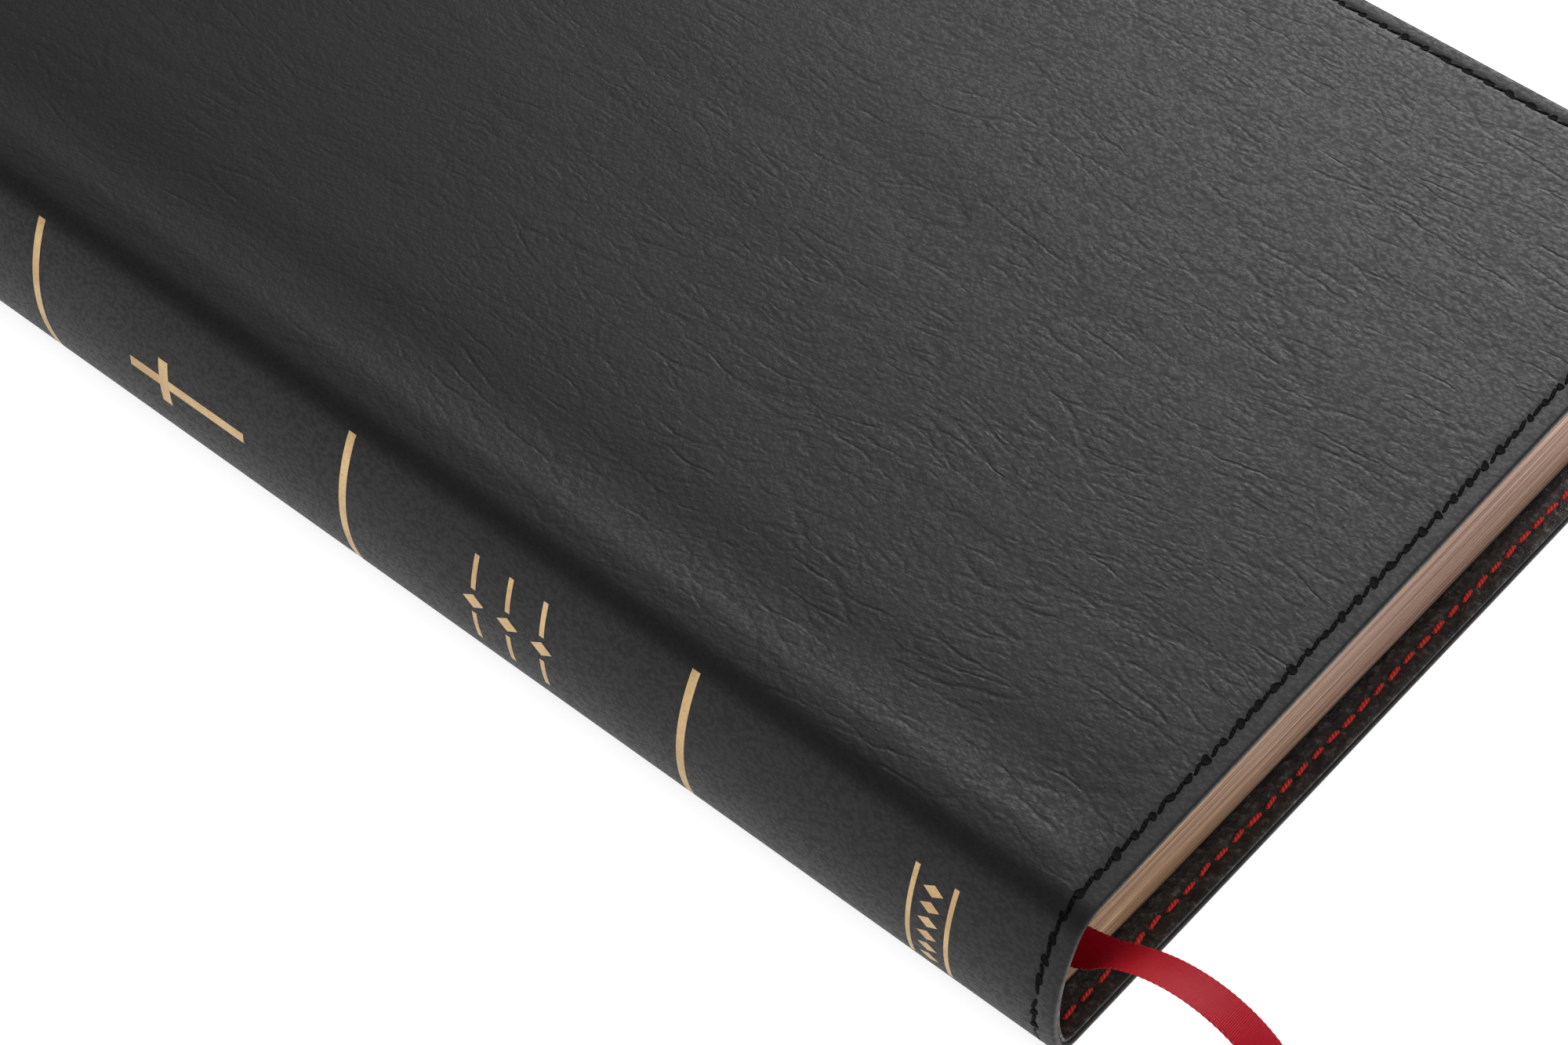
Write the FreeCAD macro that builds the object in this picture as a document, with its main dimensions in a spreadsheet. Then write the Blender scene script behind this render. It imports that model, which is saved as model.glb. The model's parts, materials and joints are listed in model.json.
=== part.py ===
"""Flexible-cover Bible, lying closed on its back cover: sewn text block, stitched cover, ribbon.

Row frame in millimetres: +X from the spine to the fore edge, +Y from tail to head, +Z up.
The origin is at the centre of the underside.  The cover is two J-shaped panels joined by a
curved spine panel.  Its two fold lines lie on the outer leather, where the spine arc is as far
in from the spine's outermost line as it is up from the underside, so that the opened spine
lies flat on the table.
"""
import FreeCAD, Part
import math
import os

import Sketcher

os.makedirs("parts", exist_ok=True)
V = FreeCAD.Vector
doc = FreeCAD.newDocument("Bible")

# ---------------------------------------------------------------- driving dimensions (mm, degrees)
sheet = doc.addObject("Spreadsheet::Sheet", "Sizes")
SIZES = [
    ("overall_width", 156.0, "spine's outermost line to fore edge"),
    ("overall_height", 238.0, "tail to head of the cover"),
    ("spine_thickness", 29.0, "closed, at the spine"),
    ("spine_arc", 30.0, "radius of the rounded spine leather"),
    ("splay", 2.6, "degrees the front cover stands open at rest"),
    ("skin_thickness", 0.8, "outer leather"),
    ("board_thickness", 0.5, "flexible card in the cover and its turned hem"),
    ("lining_thickness", 0.6, "inner lining"),
    ("hem_width", 7.0, "turned leather round the card"),
    ("cover_corner", 7.0, "fore corners of the cover"),
    ("fold_gap", 0.1, "between the panels at a fold line"),
    ("end_square", 5.4, "cover beyond the leaves at head and tail"),
    ("fore_square", 5.0, "cover beyond the leaves at the fore edge"),
    ("leaf_corner", 5.0, "rounded corners of the leaves"),
    ("paste_thickness", 0.15, "pasted-down endpaper"),
    ("fly_thickness", 0.2, "free endpaper"),
    ("leaf_gap", 0.1, "between groups of leaves"),
    ("split_height", 16.0, "opening at the ribbon, above the underside"),
    ("hollow", 0.6, "between the back of the block and the spine lining"),
    ("mull_thickness", 0.3, "cloth glued on the back of the sections"),
    ("kraft_thickness", 0.25, "paper glued over the mull"),
    ("mull_setback", 9.0, "mull and paper stop short of head and tail"),
    ("ribbon_width", 6.0, ""),
    ("ribbon_thickness", 0.2, ""),
    ("ribbon_gutter", 2.7, "spine's outermost line of the block to the ribbon's edge"),
    ("anchor_length", 18.0, "glued end of the ribbon at the head"),
    ("stitch_pitch", 3.6, ""),
    ("stitch_length", 3.0, ""),
    ("stitch_width", 0.55, ""),
    ("thread_thickness", 0.25, "thread standing in its channel"),
    ("stitch_inset", 3.0, "cover edge to the line of stitches"),
    ("channel_width", 0.9, "pressed line that the stitches lie in"),
    ("channel_depth", 0.3, ""),
    ("rule_width", 1.3, "full gold rules"),
    ("fine_rule_width", 0.9, "pair of short gold rules at the tail"),
    ("foil_thickness", 0.05, ""),
    ("foil_depth", 0.08, "recess pressed for the foil"),
    ("fine_rule_low", 16.5, "from the tail"),
    ("fine_rule_high", 22.5, "from the tail"),
    ("rule_gap", 0.3, "full rule's ends to the fold lines, round the spine"),
    ("fine_rule_up", 8.4, "middle of the spine to the fine rules' upper ends"),
    ("fine_rule_down", 11.4, "middle of the spine to their lower ends"),
]
for row, (alias, value, note) in enumerate(SIZES, start=1):
    sheet.set("A%d" % row, alias)
    sheet.set("B%d" % row, str(value))
    sheet.setAlias("B%d" % row, alias)
    sheet.set("C%d" % row, note)
FRONT_GROUPS = 4
REAR_GROUPS = 5
FULL_RULES = 3
doc.recompute()
S = {alias: float(sheet.get(alias)) for alias, value, note in SIZES}


def cell(alias):
    return "Sizes." + alias


# ---------------------------------------------------------------- sizes worked out from them
worked = doc.addObject("App::VarSet", "Worked")


def work_out(name, expression, kind="App::PropertyFloat"):
    worked.addProperty(kind, name, "Worked")
    worked.setExpression(name, expression)
    doc.recompute()
    value = getattr(worked, name)
    S[name] = float(getattr(value, "Value", value))


HALF = "Sizes.spine_thickness / 2"
work_out("fold_angle", "acos((1 - Sizes.spine_thickness / (2 * Sizes.spine_arc)) / sqrt(2)) - 45 deg",
         "App::PropertyAngle")
work_out("fold_in", "Sizes.spine_arc * (1 - cos(Worked.fold_angle))")
work_out("shoulder", "(%s - Sizes.spine_arc * sin(Worked.fold_angle)) / (1 - sin(Worked.fold_angle))"
         % HALF)
work_out("shoulder_x", "Worked.shoulder * cos(Worked.fold_angle)")
work_out("shoulder_z", "-Worked.shoulder * sin(Worked.fold_angle)")
work_out("stack", "Sizes.skin_thickness + Sizes.board_thickness + Sizes.lining_thickness")
work_out("hem", "Sizes.skin_thickness + Sizes.board_thickness")
work_out("reach", "Sizes.overall_width - Worked.fold_in")
work_out("gap_angle", "asin(Sizes.fold_gap / Sizes.spine_arc)", "App::PropertyAngle")
work_out("block_low", "Worked.stack + Sizes.paste_thickness + Sizes.fly_thickness + 2 * Sizes.leaf_gap")
work_out("block_high", "Sizes.spine_thickness - Worked.block_low")
work_out("kraft_arc", "Sizes.spine_arc - Worked.stack - Sizes.hollow")
work_out("mull_arc", "Worked.kraft_arc - Sizes.kraft_thickness")
work_out("glue_arc", "Worked.mull_arc - Sizes.mull_thickness")
work_out("block_arc", "Worked.glue_arc - Sizes.leaf_gap / 2")
work_out("leaf_height", "Sizes.overall_height - 2 * Sizes.end_square")
work_out("leaf_fore", "Sizes.overall_width - Sizes.fore_square")
work_out("pivot_arc", "Worked.kraft_arc + Sizes.ribbon_thickness + Sizes.leaf_gap / 2")
work_out("pivot_x", "Sizes.spine_arc - sqrt(Worked.pivot_arc ^ 2 - (Sizes.split_height - %s) ^ 2)" % HALF)


# ---------------------------------------------------------------- helpers
def number(expression):
    value = sheet.evalExpression(expression)
    return float(getattr(value, "Value", value))


def origin_plane(body, role):
    for feature in body.Origin.OriginFeatures:
        if feature.Role == role:
            return feature
    raise ValueError(role)


def make_body(label):
    body = doc.addObject("PartDesign::Body", label)
    body.Label = label
    return body


def attach(sketch, body, plane, lift=None):
    sketch.AttachmentSupport = [(origin_plane(body, plane), "")]
    sketch.MapMode = "FlatFace"
    if lift:
        sketch.setExpression("AttachmentOffset.Base.z", lift)
        doc.recompute()


def pin_point(sketch, edge, end, across, up):
    """Ties one end of an edge to two expressions, measured from the sketch's origin."""
    for kind, axis, expression in (("DistanceX", -2, across), ("DistanceY", -1, up)):
        value = number(expression)
        if abs(value) < 1e-9:
            sketch.addConstraint(Sketcher.Constraint("PointOnObject", edge, end, axis))
        else:
            index = sketch.addConstraint(Sketcher.Constraint(kind, -1, 1, edge, end, value))
            sketch.setExpression("Constraints[%d]" % index, expression)


def outline(body, name, plane, corners, arcs=None, lift=None):
    """A closed outline.  corners: (across, up) expressions in order; arcs: {index: (radius, turn)}
    for the edge that leaves that corner, with turn +1 for anticlockwise."""
    sketch = body.newObject("Sketcher::SketchObject", name)
    attach(sketch, body, plane, lift)
    arcs = arcs or {}
    spots = [V(number(across), number(up), 0) for across, up in corners]
    ends = []
    for i, start in enumerate(spots):
        stop = spots[(i + 1) % len(spots)]
        if i not in arcs:
            edge = sketch.addGeometry(Part.LineSegment(start, stop), False)
            ends.append((edge, 1, 2))
            continue
        radius, turn = number(arcs[i][0]), arcs[i][1]
        chord = stop - start
        rise = math.sqrt(max(radius ** 2 - (chord.Length / 2) ** 2, 0.0))
        side = V(-chord.y, chord.x, 0).normalize() * rise * turn
        centre = (start + stop) * 0.5 + side
        first, last = (start, stop) if turn > 0 else (stop, start)
        begin = math.atan2(first.y - centre.y, first.x - centre.x)
        finish = math.atan2(last.y - centre.y, last.x - centre.x)
        while finish < begin:
            finish += 2 * math.pi
        circle = Part.Circle(centre, V(0, 0, 1), radius)
        edge = sketch.addGeometry(Part.ArcOfCircle(circle, begin, finish), False)
        ends.append((edge, 1, 2) if turn > 0 else (edge, 2, 1))
    for i, (edge, start_end, stop_end) in enumerate(ends):
        after, after_start, after_stop = ends[(i + 1) % len(ends)]
        sketch.addConstraint(Sketcher.Constraint("Coincident", edge, stop_end, after, after_start))
    for i, (edge, start_end, stop_end) in enumerate(ends):
        pin_point(sketch, edge, start_end, *corners[i])
        if i in arcs:
            index = sketch.addConstraint(Sketcher.Constraint("Radius", edge, number(arcs[i][0])))
            sketch.setExpression("Constraints[%d]" % index, arcs[i][0])
    doc.recompute()
    return sketch


def pad_both_ways(body, sketch, length):
    pad = body.newObject("PartDesign::Pad", sketch.Name + "_pad")
    pad.Profile = sketch
    pad.SideType = "Symmetric"
    pad.setExpression("Length", length)
    doc.recompute()
    return pad


def pad_up(body, sketch, length):
    pad = body.newObject("PartDesign::Pad", sketch.Name + "_pad")
    pad.Profile = sketch
    pad.setExpression("Length", length)
    doc.recompute()
    return pad


def pocket(body, sketch, depth, both_ways=False, inward=False):
    """Cuts a sketch into the body and makes sure that something was cut."""
    before = body.Shape.Volume
    cut = body.newObject("PartDesign::Pocket", sketch.Name + "_cut")
    cut.Profile = sketch
    if both_ways:
        cut.SideType = "Symmetric"
    cut.Reversed = inward
    cut.setExpression("Length", depth)
    doc.recompute()
    if not body.Shape.Volume < before - 1e-3:
        raise RuntimeError("nothing cut by " + cut.Name)
    return cut


def round_corners(body, radius, fore_x):
    """Rounds the two corners at the fore edge, whose edges run through the thickness."""
    names = []
    for i, edge in enumerate(body.Shape.Edges, start=1):
        box = edge.BoundBox
        if box.XMin > fore_x - 0.01 and box.YLength < 0.01 and abs(box.Center.y) > 1:
            names.append("Edge%d" % i)
    base = body.Tip
    fillet = body.newObject("PartDesign::Fillet", body.Name + "_corners")
    fillet.Base = (base, names)
    fillet.setExpression("Radius", radius)
    doc.recompute()


def place(feature, across="0", up="0", along="0", turn=None, axis=V(0, 1, 0)):
    """Puts a piece in the row frame; across and up are measured from the spine's outermost line."""
    if turn is not None:
        feature.Placement = FreeCAD.Placement(V(0, 0, 0), FreeCAD.Rotation(axis, number(turn)))
        feature.setExpression("Placement.Rotation.Angle", turn)
    feature.setExpression("Placement.Base.x", "%s - Sizes.overall_width / 2" % across)
    feature.setExpression("Placement.Base.y", along)
    feature.setExpression("Placement.Base.z", up)


def place_cover(feature, side):
    """A cover panel is made with its fold line at the origin and its outer leather up."""
    if side == "front":
        place(feature, "Worked.fold_in", "Sizes.spine_thickness - Worked.fold_in",
              turn="-Sizes.splay * 1 deg")
    else:
        place(feature, "Worked.fold_in", "Worked.fold_in", turn="180 deg", axis=V(1, 0, 0))


def radial(radius, angle, sign=1):
    """Point on an arc about the shoulder's centre, towards the fold line."""
    return ("(Worked.shoulder_x - (%s) * cos(%s))" % (radius, angle),
            "(Worked.shoulder_z + (%s) * sin(%s))" % (radius, angle))


def cover_layer(label, outer, inner, height, side):
    """One layer of a cover panel: the shoulder's quarter roll and the flat, as one J."""
    body = make_body(label)
    big = "(Worked.shoulder - (%s))" % outer
    small = "(Worked.shoulder - (%s))" % inner
    top = "(Worked.shoulder_z + %s)" % big
    low = "(Worked.shoulder_z + %s)" % small
    corners = [radial(big, "Worked.fold_angle"), ("Worked.shoulder_x", top), ("Worked.reach", top),
               ("Worked.reach", low), ("Worked.shoulder_x", low), radial(small, "Worked.fold_angle")]
    sketch = outline(body, label + "_profile", "XZ_Plane", corners, {0: (big, -1), 4: (small, 1)})
    pad_both_ways(body, sketch, height)
    round_corners(body, cell("cover_corner"), S["reach"])
    place_cover(body, side)
    return body


def rectangle(body, name, left, right, half, lift):
    corners = [(left, "-(%s)" % half), (right, "-(%s)" % half), (right, half), (left, half)]
    return outline(body, name, "XY_Plane", corners, lift=lift)


def channel(body, name, surface, depth, inward):
    """The pressed line that the stitches lie in, along the tail, fore edge and head."""
    line = "Sizes.stitch_inset"
    wide = "Sizes.channel_width / 2"
    past = "Worked.shoulder_x"
    out = rectangle(body, name, past, "Worked.reach - %s + %s" % (line, wide),
                    "Sizes.overall_height / 2 - %s + %s" % (line, wide), surface)
    inner = [(past, "-(Sizes.overall_height / 2 - %s - %s)" % (line, wide)),
             ("Worked.reach - %s - %s" % (line, wide),
              "-(Sizes.overall_height / 2 - %s - %s)" % (line, wide)),
             ("Worked.reach - %s - %s" % (line, wide), "Sizes.overall_height / 2 - %s - %s" % (line, wide)),
             (past, "Sizes.overall_height / 2 - %s - %s" % (line, wide))]
    keep = rectangle_hole(out, inner)
    return pocket(body, keep, depth, inward=inward)


def rectangle_hole(sketch, corners):
    """Adds an inner outline that keeps the ground inside the channel; the two share no edge."""
    spots = [V(number(across), number(up), 0) for across, up in corners]
    spots[0].x += 0.5
    spots[3].x += 0.5
    first = sketch.GeometryCount
    for i in range(4):
        sketch.addGeometry(Part.LineSegment(spots[i], spots[(i + 1) % 4]), False)
    shifted = [("%s + 0.5" % corners[0][0], corners[0][1]), corners[1], corners[2],
               ("%s + 0.5" % corners[3][0], corners[3][1])]
    for i in range(4):
        sketch.addConstraint(Sketcher.Constraint("Coincident", first + i, 2, first + (i + 1) % 4, 1))
    for i in range(4):
        pin_point(sketch, first + i, 1, *shifted[i])
    doc.recompute()
    return sketch


def turned(length):
    """The angle that a length covers on the spine's outer arc."""
    return "(asin(%s / (2 * Sizes.spine_arc)) * 2)" % length


def arc_band(body, name, outer, inner, low_angle, high_angle):
    """Outline of a curved band about the spine arc's centre; angles are from the outward line."""
    def spot(radius, angle):
        return ("(-(%s) * cos(%s))" % (radius, angle), "((%s) * sin(%s))" % (radius, angle))
    corners = [spot(outer, low_angle), spot(outer, high_angle), spot(inner, high_angle),
               spot(inner, low_angle)]
    return outline(body, name, "XZ_Plane", corners, {0: (outer, -1), 2: (inner, 1)})


def band_piece(label, outer, inner, low_angle, high_angle, length, along="0"):
    body = make_body(label)
    sketch = arc_band(body, label + "_profile", outer, inner, low_angle, high_angle)
    pad_both_ways(body, sketch, length)
    place(body, cell("spine_arc"), HALF, along)
    return body


def band_pocket(body, name, outer, inner, low_angle, high_angle, length, along="0"):
    """Cuts a curved recess into a spine layer; the tool is centred at a place along the spine."""
    sketch = arc_band(body, name, outer, inner, low_angle, high_angle)
    sketch.setExpression("AttachmentOffset.Base.z", "-(%s)" % along)
    doc.recompute()
    return pocket(body, sketch, length, both_ways=True)


def plate(label, left, right, half, low, thick, corner, side):
    """A flat sheet parallel to a cover panel, rounded at its two fore corners."""
    body = make_body(label)
    sketch = rectangle(body, label + "_outline", left, right, half, low)
    pad_up(body, sketch, thick)
    round_corners(body, corner, number(right))
    place_cover(body, side)
    return body


# ---------------------------------------------------------------- cover panels
HALF_HEIGHT = "Sizes.overall_height / 2"
LEAF_HALF = "Worked.leaf_height / 2"
FLAT_TOP = "(Worked.shoulder_z + Worked.shoulder)"
CARD_LEFT = "(Worked.shoulder_x + 2)"
LEAF_RIGHT = "(Worked.leaf_fore - Worked.fold_in)"
pieces = {}


def cover_panel(side):
    skin = cover_layer(side + "_cover_skin", "0", "Worked.hem", cell("overall_height"), side)
    under = "(%s - Worked.hem)" % FLAT_TOP
    bed = rectangle(skin, side + "_card_bed", CARD_LEFT, "(Worked.reach - Sizes.hem_width)",
                    "(%s - Sizes.hem_width)" % HALF_HEIGHT, under)
    pocket(skin, bed, cell("board_thickness"), inward=True)
    channel(skin, side + "_outer_channel", FLAT_TOP, cell("channel_depth"), False)
    card = plate(side + "_cover_card", CARD_LEFT + " + 0.1", "(Worked.reach - Sizes.hem_width - 0.1)",
                 "(%s - Sizes.hem_width - 0.1)" % HALF_HEIGHT, under, cell("board_thickness"),
                 "1", side)
    lining = cover_layer(side + "_cover_lining", "Worked.hem", "Worked.stack",
                         cell("overall_height"), side)
    inner = "(%s - Worked.stack)" % FLAT_TOP
    channel(lining, side + "_inner_channel", inner, cell("channel_depth"), True)
    paste = plate(side + "_pastedown", "Worked.shoulder_x + 1", LEAF_RIGHT, LEAF_HALF,
                  "(%s - Sizes.paste_thickness)" % inner, cell("paste_thickness"),
                  cell("leaf_corner"), side)
    fly = plate(side + "_flyleaf", "Worked.shoulder_x", LEAF_RIGHT, LEAF_HALF,
                "(%s - Sizes.paste_thickness - Sizes.leaf_gap - Sizes.fly_thickness)" % inner,
                cell("fly_thickness"), cell("leaf_corner"), side)
    for piece in (skin, card, lining, paste, fly):
        pieces[piece.Label] = piece


cover_panel("back")
cover_panel("front")

# ---------------------------------------------------------------- spine panel
SPINE_END = "(Worked.fold_angle - Worked.gap_angle)"
skin = band_piece("spine_skin", cell("spine_arc"), "(Sizes.spine_arc - Worked.hem)",
                  "-" + SPINE_END, SPINE_END, cell("overall_height"))
band_pocket(skin, "spine_card_bed", "(Sizes.spine_arc - Sizes.skin_thickness)",
            "(Sizes.spine_arc - Worked.hem)", "-(%s - 3 deg)" % SPINE_END, "(%s - 3 deg)" % SPINE_END,
            "(Sizes.overall_height - 2 * Sizes.hem_width)")
card = band_piece("spine_card", "(Sizes.spine_arc - Sizes.skin_thickness)",
                  "(Sizes.spine_arc - Worked.hem)", "-(%s - 3.3 deg)" % SPINE_END,
                  "(%s - 3.3 deg)" % SPINE_END,
                  "(Sizes.overall_height - 2 * Sizes.hem_width - 0.2)")
lining = band_piece("spine_lining", "(Sizes.spine_arc - Worked.hem)",
                    "(Sizes.spine_arc - Worked.stack)", "-" + SPINE_END, SPINE_END,
                    cell("overall_height"))
PAST_END = "(%s + 1 deg)" % SPINE_END
for end, sign in (("tail", "-"), ("head", "")):
    place_along = "%s(%s - Sizes.stitch_inset)" % (sign, HALF_HEIGHT)
    band_pocket(skin, "spine_channel_" + end, "(Sizes.spine_arc + 0.2)",
                "(Sizes.spine_arc - Sizes.channel_depth)", "-" + PAST_END, PAST_END,
                cell("channel_width"), place_along)
    band_pocket(lining, "spine_inner_channel_" + end,
                "(Sizes.spine_arc - Worked.stack + Sizes.channel_depth)",
                "(Sizes.spine_arc - Worked.stack - 0.2)", "-" + PAST_END, PAST_END,
                cell("channel_width"), place_along)

# gold rules: full ones at the quarters of the spine, and a pair of fine ones at the tail
RULES = []
FULL_END = "(Worked.fold_angle - %s)" % turned("Sizes.rule_gap")
for i in range(FULL_RULES):
    quarter = "(Sizes.overall_height * %d / %d - %s)" % (i + 1, FULL_RULES + 1, HALF_HEIGHT)
    RULES.append((quarter, cell("rule_width"), "-" + FULL_END, FULL_END))
for alias in ("fine_rule_low", "fine_rule_high"):
    RULES.append(("(%s - %s)" % (cell(alias), HALF_HEIGHT), cell("fine_rule_width"),
                  "-" + turned("Sizes.fine_rule_down"), turned("Sizes.fine_rule_up")))
FOIL_BED = "(Sizes.spine_arc - Sizes.foil_depth)"
for i, (along, width, low_angle, high_angle) in enumerate(RULES, start=1):
    band_pocket(skin, "rule_bed_%d" % i, "(Sizes.spine_arc + 0.2)", FOIL_BED, low_angle, high_angle,
                width, along)


# ---------------------------------------------------------------- small repeated solids
def arc_segment(outer, inner, half_angle, length, angle, along):
    """A short curved bar on the spine, centred at an angle and a place along it."""
    bar = Part.makeCylinder(outer, length, V(0, 0, 0), V(0, 0, 1), 2 * half_angle)
    bar = bar.cut(Part.makeCylinder(inner, length + 2, V(0, 0, -1)))
    bar.rotate(V(0, 0, 0), V(0, 0, 1), 180 - half_angle + angle)
    bar.rotate(V(0, 0, 0), V(1, 0, 0), -90)
    bar.translate(V(S["spine_arc"] - S["overall_width"] / 2, along - length / 2,
                    S["spine_thickness"] / 2))
    return bar


def group_piece(label, solids):
    piece = doc.addObject("Part::Feature", label)
    piece.Label = label
    piece.Shape = Part.makeCompound(solids)
    pieces[label] = piece
    return piece


FOIL_TOP = S["spine_arc"] - S["foil_depth"] + S["foil_thickness"]
FOIL_LOW = S["spine_arc"] - S["foil_depth"]
group_piece("spine_rules", [
    arc_segment(FOIL_TOP, FOIL_LOW, (number(high_angle) - number(low_angle)) / 2, number(width),
                (number(high_angle) + number(low_angle)) / 2, number(along))
    for along, width, low_angle, high_angle in RULES])


def lozenge(angle, along, across, tall):
    """Diamond prism, pointing through the spine leather, for cutting foil from a thin band."""
    points = [V(0, along - tall / 2, -0.0), V(0, along, -across / 2), V(0, along + tall / 2, 0),
              V(0, along, across / 2)]
    face = Part.Face(Part.makePolygon(points + points[:1]))
    prism = face.extrude(V(-3, 0, 0))
    prism.translate(V(-S["spine_arc"] + 1.5, 0, 0))
    prism.rotate(V(0, 0, 0), V(0, 1, 0), angle)
    prism.translate(V(S["spine_arc"] - S["overall_width"] / 2, 0, S["spine_thickness"] / 2))
    return prism


HALF_SPAN = S["overall_height"] / 2
PANEL = S["overall_height"] / (FULL_RULES + 1)
CROSS_Y = 2.5 * PANEL - HALF_SPAN
MOTIF_Y = 1.5 * PANEL - HALF_SPAN
TAIL_Y = (S["fine_rule_low"] + S["fine_rule_high"]) / 2 - HALF_SPAN
CROSS_TALL, CROSS_BAR, CROSS_WIDE = 22.0, 1.8, 7.5
MOTIF_STEP, MOTIF_BAR = 6.0, 0.8
TAIL_DIAMONDS = 6
DIAMOND_STEP = 5.6
TAIL_CENTRE = (S["fine_rule_up"] - S["fine_rule_down"]) / 2
BAR_LOW, BAR_HIGH = 16.0, 4.5


def degrees(length):
    return math.degrees(length / S["spine_arc"])


def foil_bars(outer, inner):
    """The plain cross and the bars beside the motif's diamonds."""
    bars = [arc_segment(outer, inner, degrees(CROSS_BAR / 2), CROSS_TALL, 0, CROSS_Y)]
    arm = (CROSS_WIDE - CROSS_BAR / 2) / 2
    for sign in (-1, 1):
        centre = degrees(CROSS_BAR / 2 + arm + 0.02) * sign
        bars.append(arc_segment(outer, inner, degrees(arm), CROSS_BAR, centre,
                                CROSS_Y + CROSS_TALL / 5))
        for step in (-1, 0, 1):
            middle = (BAR_LOW + BAR_HIGH) / 2 * sign
            bars.append(arc_segment(outer, inner, (BAR_LOW - BAR_HIGH) / 2, MOTIF_BAR, middle,
                                    MOTIF_Y + step * MOTIF_STEP))
    return bars


def foil_diamonds():
    diamonds = [lozenge(0, MOTIF_Y + step * MOTIF_STEP, 2.6, 3.6) for step in (-1, 0, 1)]
    for i in range(TAIL_DIAMONDS):
        angle = degrees(TAIL_CENTRE) + (i - (TAIL_DIAMONDS - 1) / 2) * DIAMOND_STEP
        diamonds.append(lozenge(angle, TAIL_Y, 2.0, 3.0))
    return diamonds


foil_sheet = arc_segment(FOIL_TOP, FOIL_LOW, 20, S["overall_height"], 0, 0)
group_piece("spine_ornaments", foil_bars(FOIL_TOP, FOIL_LOW)
            + [foil_sheet.common(diamond).Solids[0] for diamond in foil_diamonds()])

bed_sheet = arc_segment(S["spine_arc"] + 0.2, FOIL_LOW, 20, S["overall_height"], 0, 0)
ornament_beds = doc.addObject("Part::Feature", "ornament_beds")
ornament_beds.Shape = Part.makeCompound(
    foil_bars(S["spine_arc"] + 0.2, FOIL_LOW)
    + [bed_sheet.common(diamond).Solids[0] for diamond in foil_diamonds()])
pressed = doc.addObject("Part::Cut", "pressed_spine")
pressed.Base = skin
pressed.Tool = ornament_beds
skin.Label = "spine_blank"
pressed.Label = "spine_skin"
for piece in (pressed, card, lining):
    pieces[piece.Label] = piece


def stitch_row(first, last):
    """Centres of stitches spread evenly between two ends, at about the sheet's pitch."""
    count = int(abs(last - first) / S["stitch_pitch"])
    return [first + (last - first) * (i + 0.5) / count for i in range(count)]


def cover_stitches(side, face, surface, sign):
    """Stitches on the three sewn sides; surface is the height of the channel's floor."""
    edge = S["reach"] - S["stitch_inset"]
    end = HALF_SPAN - S["stitch_inset"]
    corner = S["cover_corner"]
    low = surface if sign > 0 else surface - S["thread_thickness"]
    solids = []
    for x in stitch_row(S["shoulder_x"] + 1, edge - corner / 2):
        for y in (-end, end):
            solids.append(Part.makeBox(S["stitch_length"], S["stitch_width"], S["thread_thickness"],
                                       V(x - S["stitch_length"] / 2, y - S["stitch_width"] / 2, low)))
    for y in stitch_row(-end + corner / 2, end - corner / 2):
        solids.append(Part.makeBox(S["stitch_width"], S["stitch_length"], S["thread_thickness"],
                                   V(edge - S["stitch_width"] / 2, y - S["stitch_length"] / 2, low)))
    piece = group_piece("%s_stitches_%s" % (side, face), solids)
    place_cover(piece, side)


def spine_stitches(face, outer):
    half = S["fold_angle"] - degrees(S["stitch_pitch"] / 2)
    inner = outer - S["thread_thickness"]
    solids = []
    for end in (-1, 1):
        for angle in stitch_row(-half * math.pi / 180 * S["spine_arc"],
                                half * math.pi / 180 * S["spine_arc"]):
            solids.append(arc_segment(outer, inner, degrees(S["stitch_length"] / 2),
                                      S["stitch_width"], degrees(angle),
                                      end * (HALF_SPAN - S["stitch_inset"])))
    group_piece("spine_stitches_" + face, solids)


flat_top = S["shoulder_z"] + S["shoulder"]
for side in ("front", "back"):
    cover_stitches(side, "outer", flat_top - S["channel_depth"], 1)
    cover_stitches(side, "inner", flat_top - S["stack"] + S["channel_depth"], -1)
spine_stitches("outer", S["spine_arc"] - S["channel_depth"] + S["thread_thickness"])
spine_stitches("inner", S["spine_arc"] - S["stack"] + S["channel_depth"])

# ---------------------------------------------------------------- text block
BACK_AT = "(Sizes.spine_arc - sqrt(Worked.block_arc ^ 2 - (%s - Sizes.spine_thickness / 2) ^ 2))"


def leaf_group(label, low, high):
    """A wedge of folded sections: its faces fan out evenly between the two covers."""
    body = make_body(label)

    def fan(height):
        slope = ("(Sizes.splay * 1 deg * (%s - Worked.block_low) / (Worked.block_high - Worked.block_low))"
                 % height)
        return "(%s + (Worked.leaf_fore - %s) * tan(%s))" % (height, BACK_AT % height, slope)
    corners = [(BACK_AT % low, low), ("Worked.leaf_fore", fan(low)), ("Worked.leaf_fore", fan(high)),
               (BACK_AT % high, high)]
    sketch = outline(body, label + "_profile", "XZ_Plane", corners)
    pad_both_ways(body, sketch, "Worked.leaf_height")
    round_corners(body, cell("leaf_corner"), S["leaf_fore"])
    place(body)
    pieces[label] = body


SPLIT_LOW = "(Sizes.split_height - Sizes.ribbon_thickness / 2 - Sizes.leaf_gap / 2)"
SPLIT_HIGH = "(Sizes.split_height + Sizes.ribbon_thickness / 2 + Sizes.leaf_gap / 2)"


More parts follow.
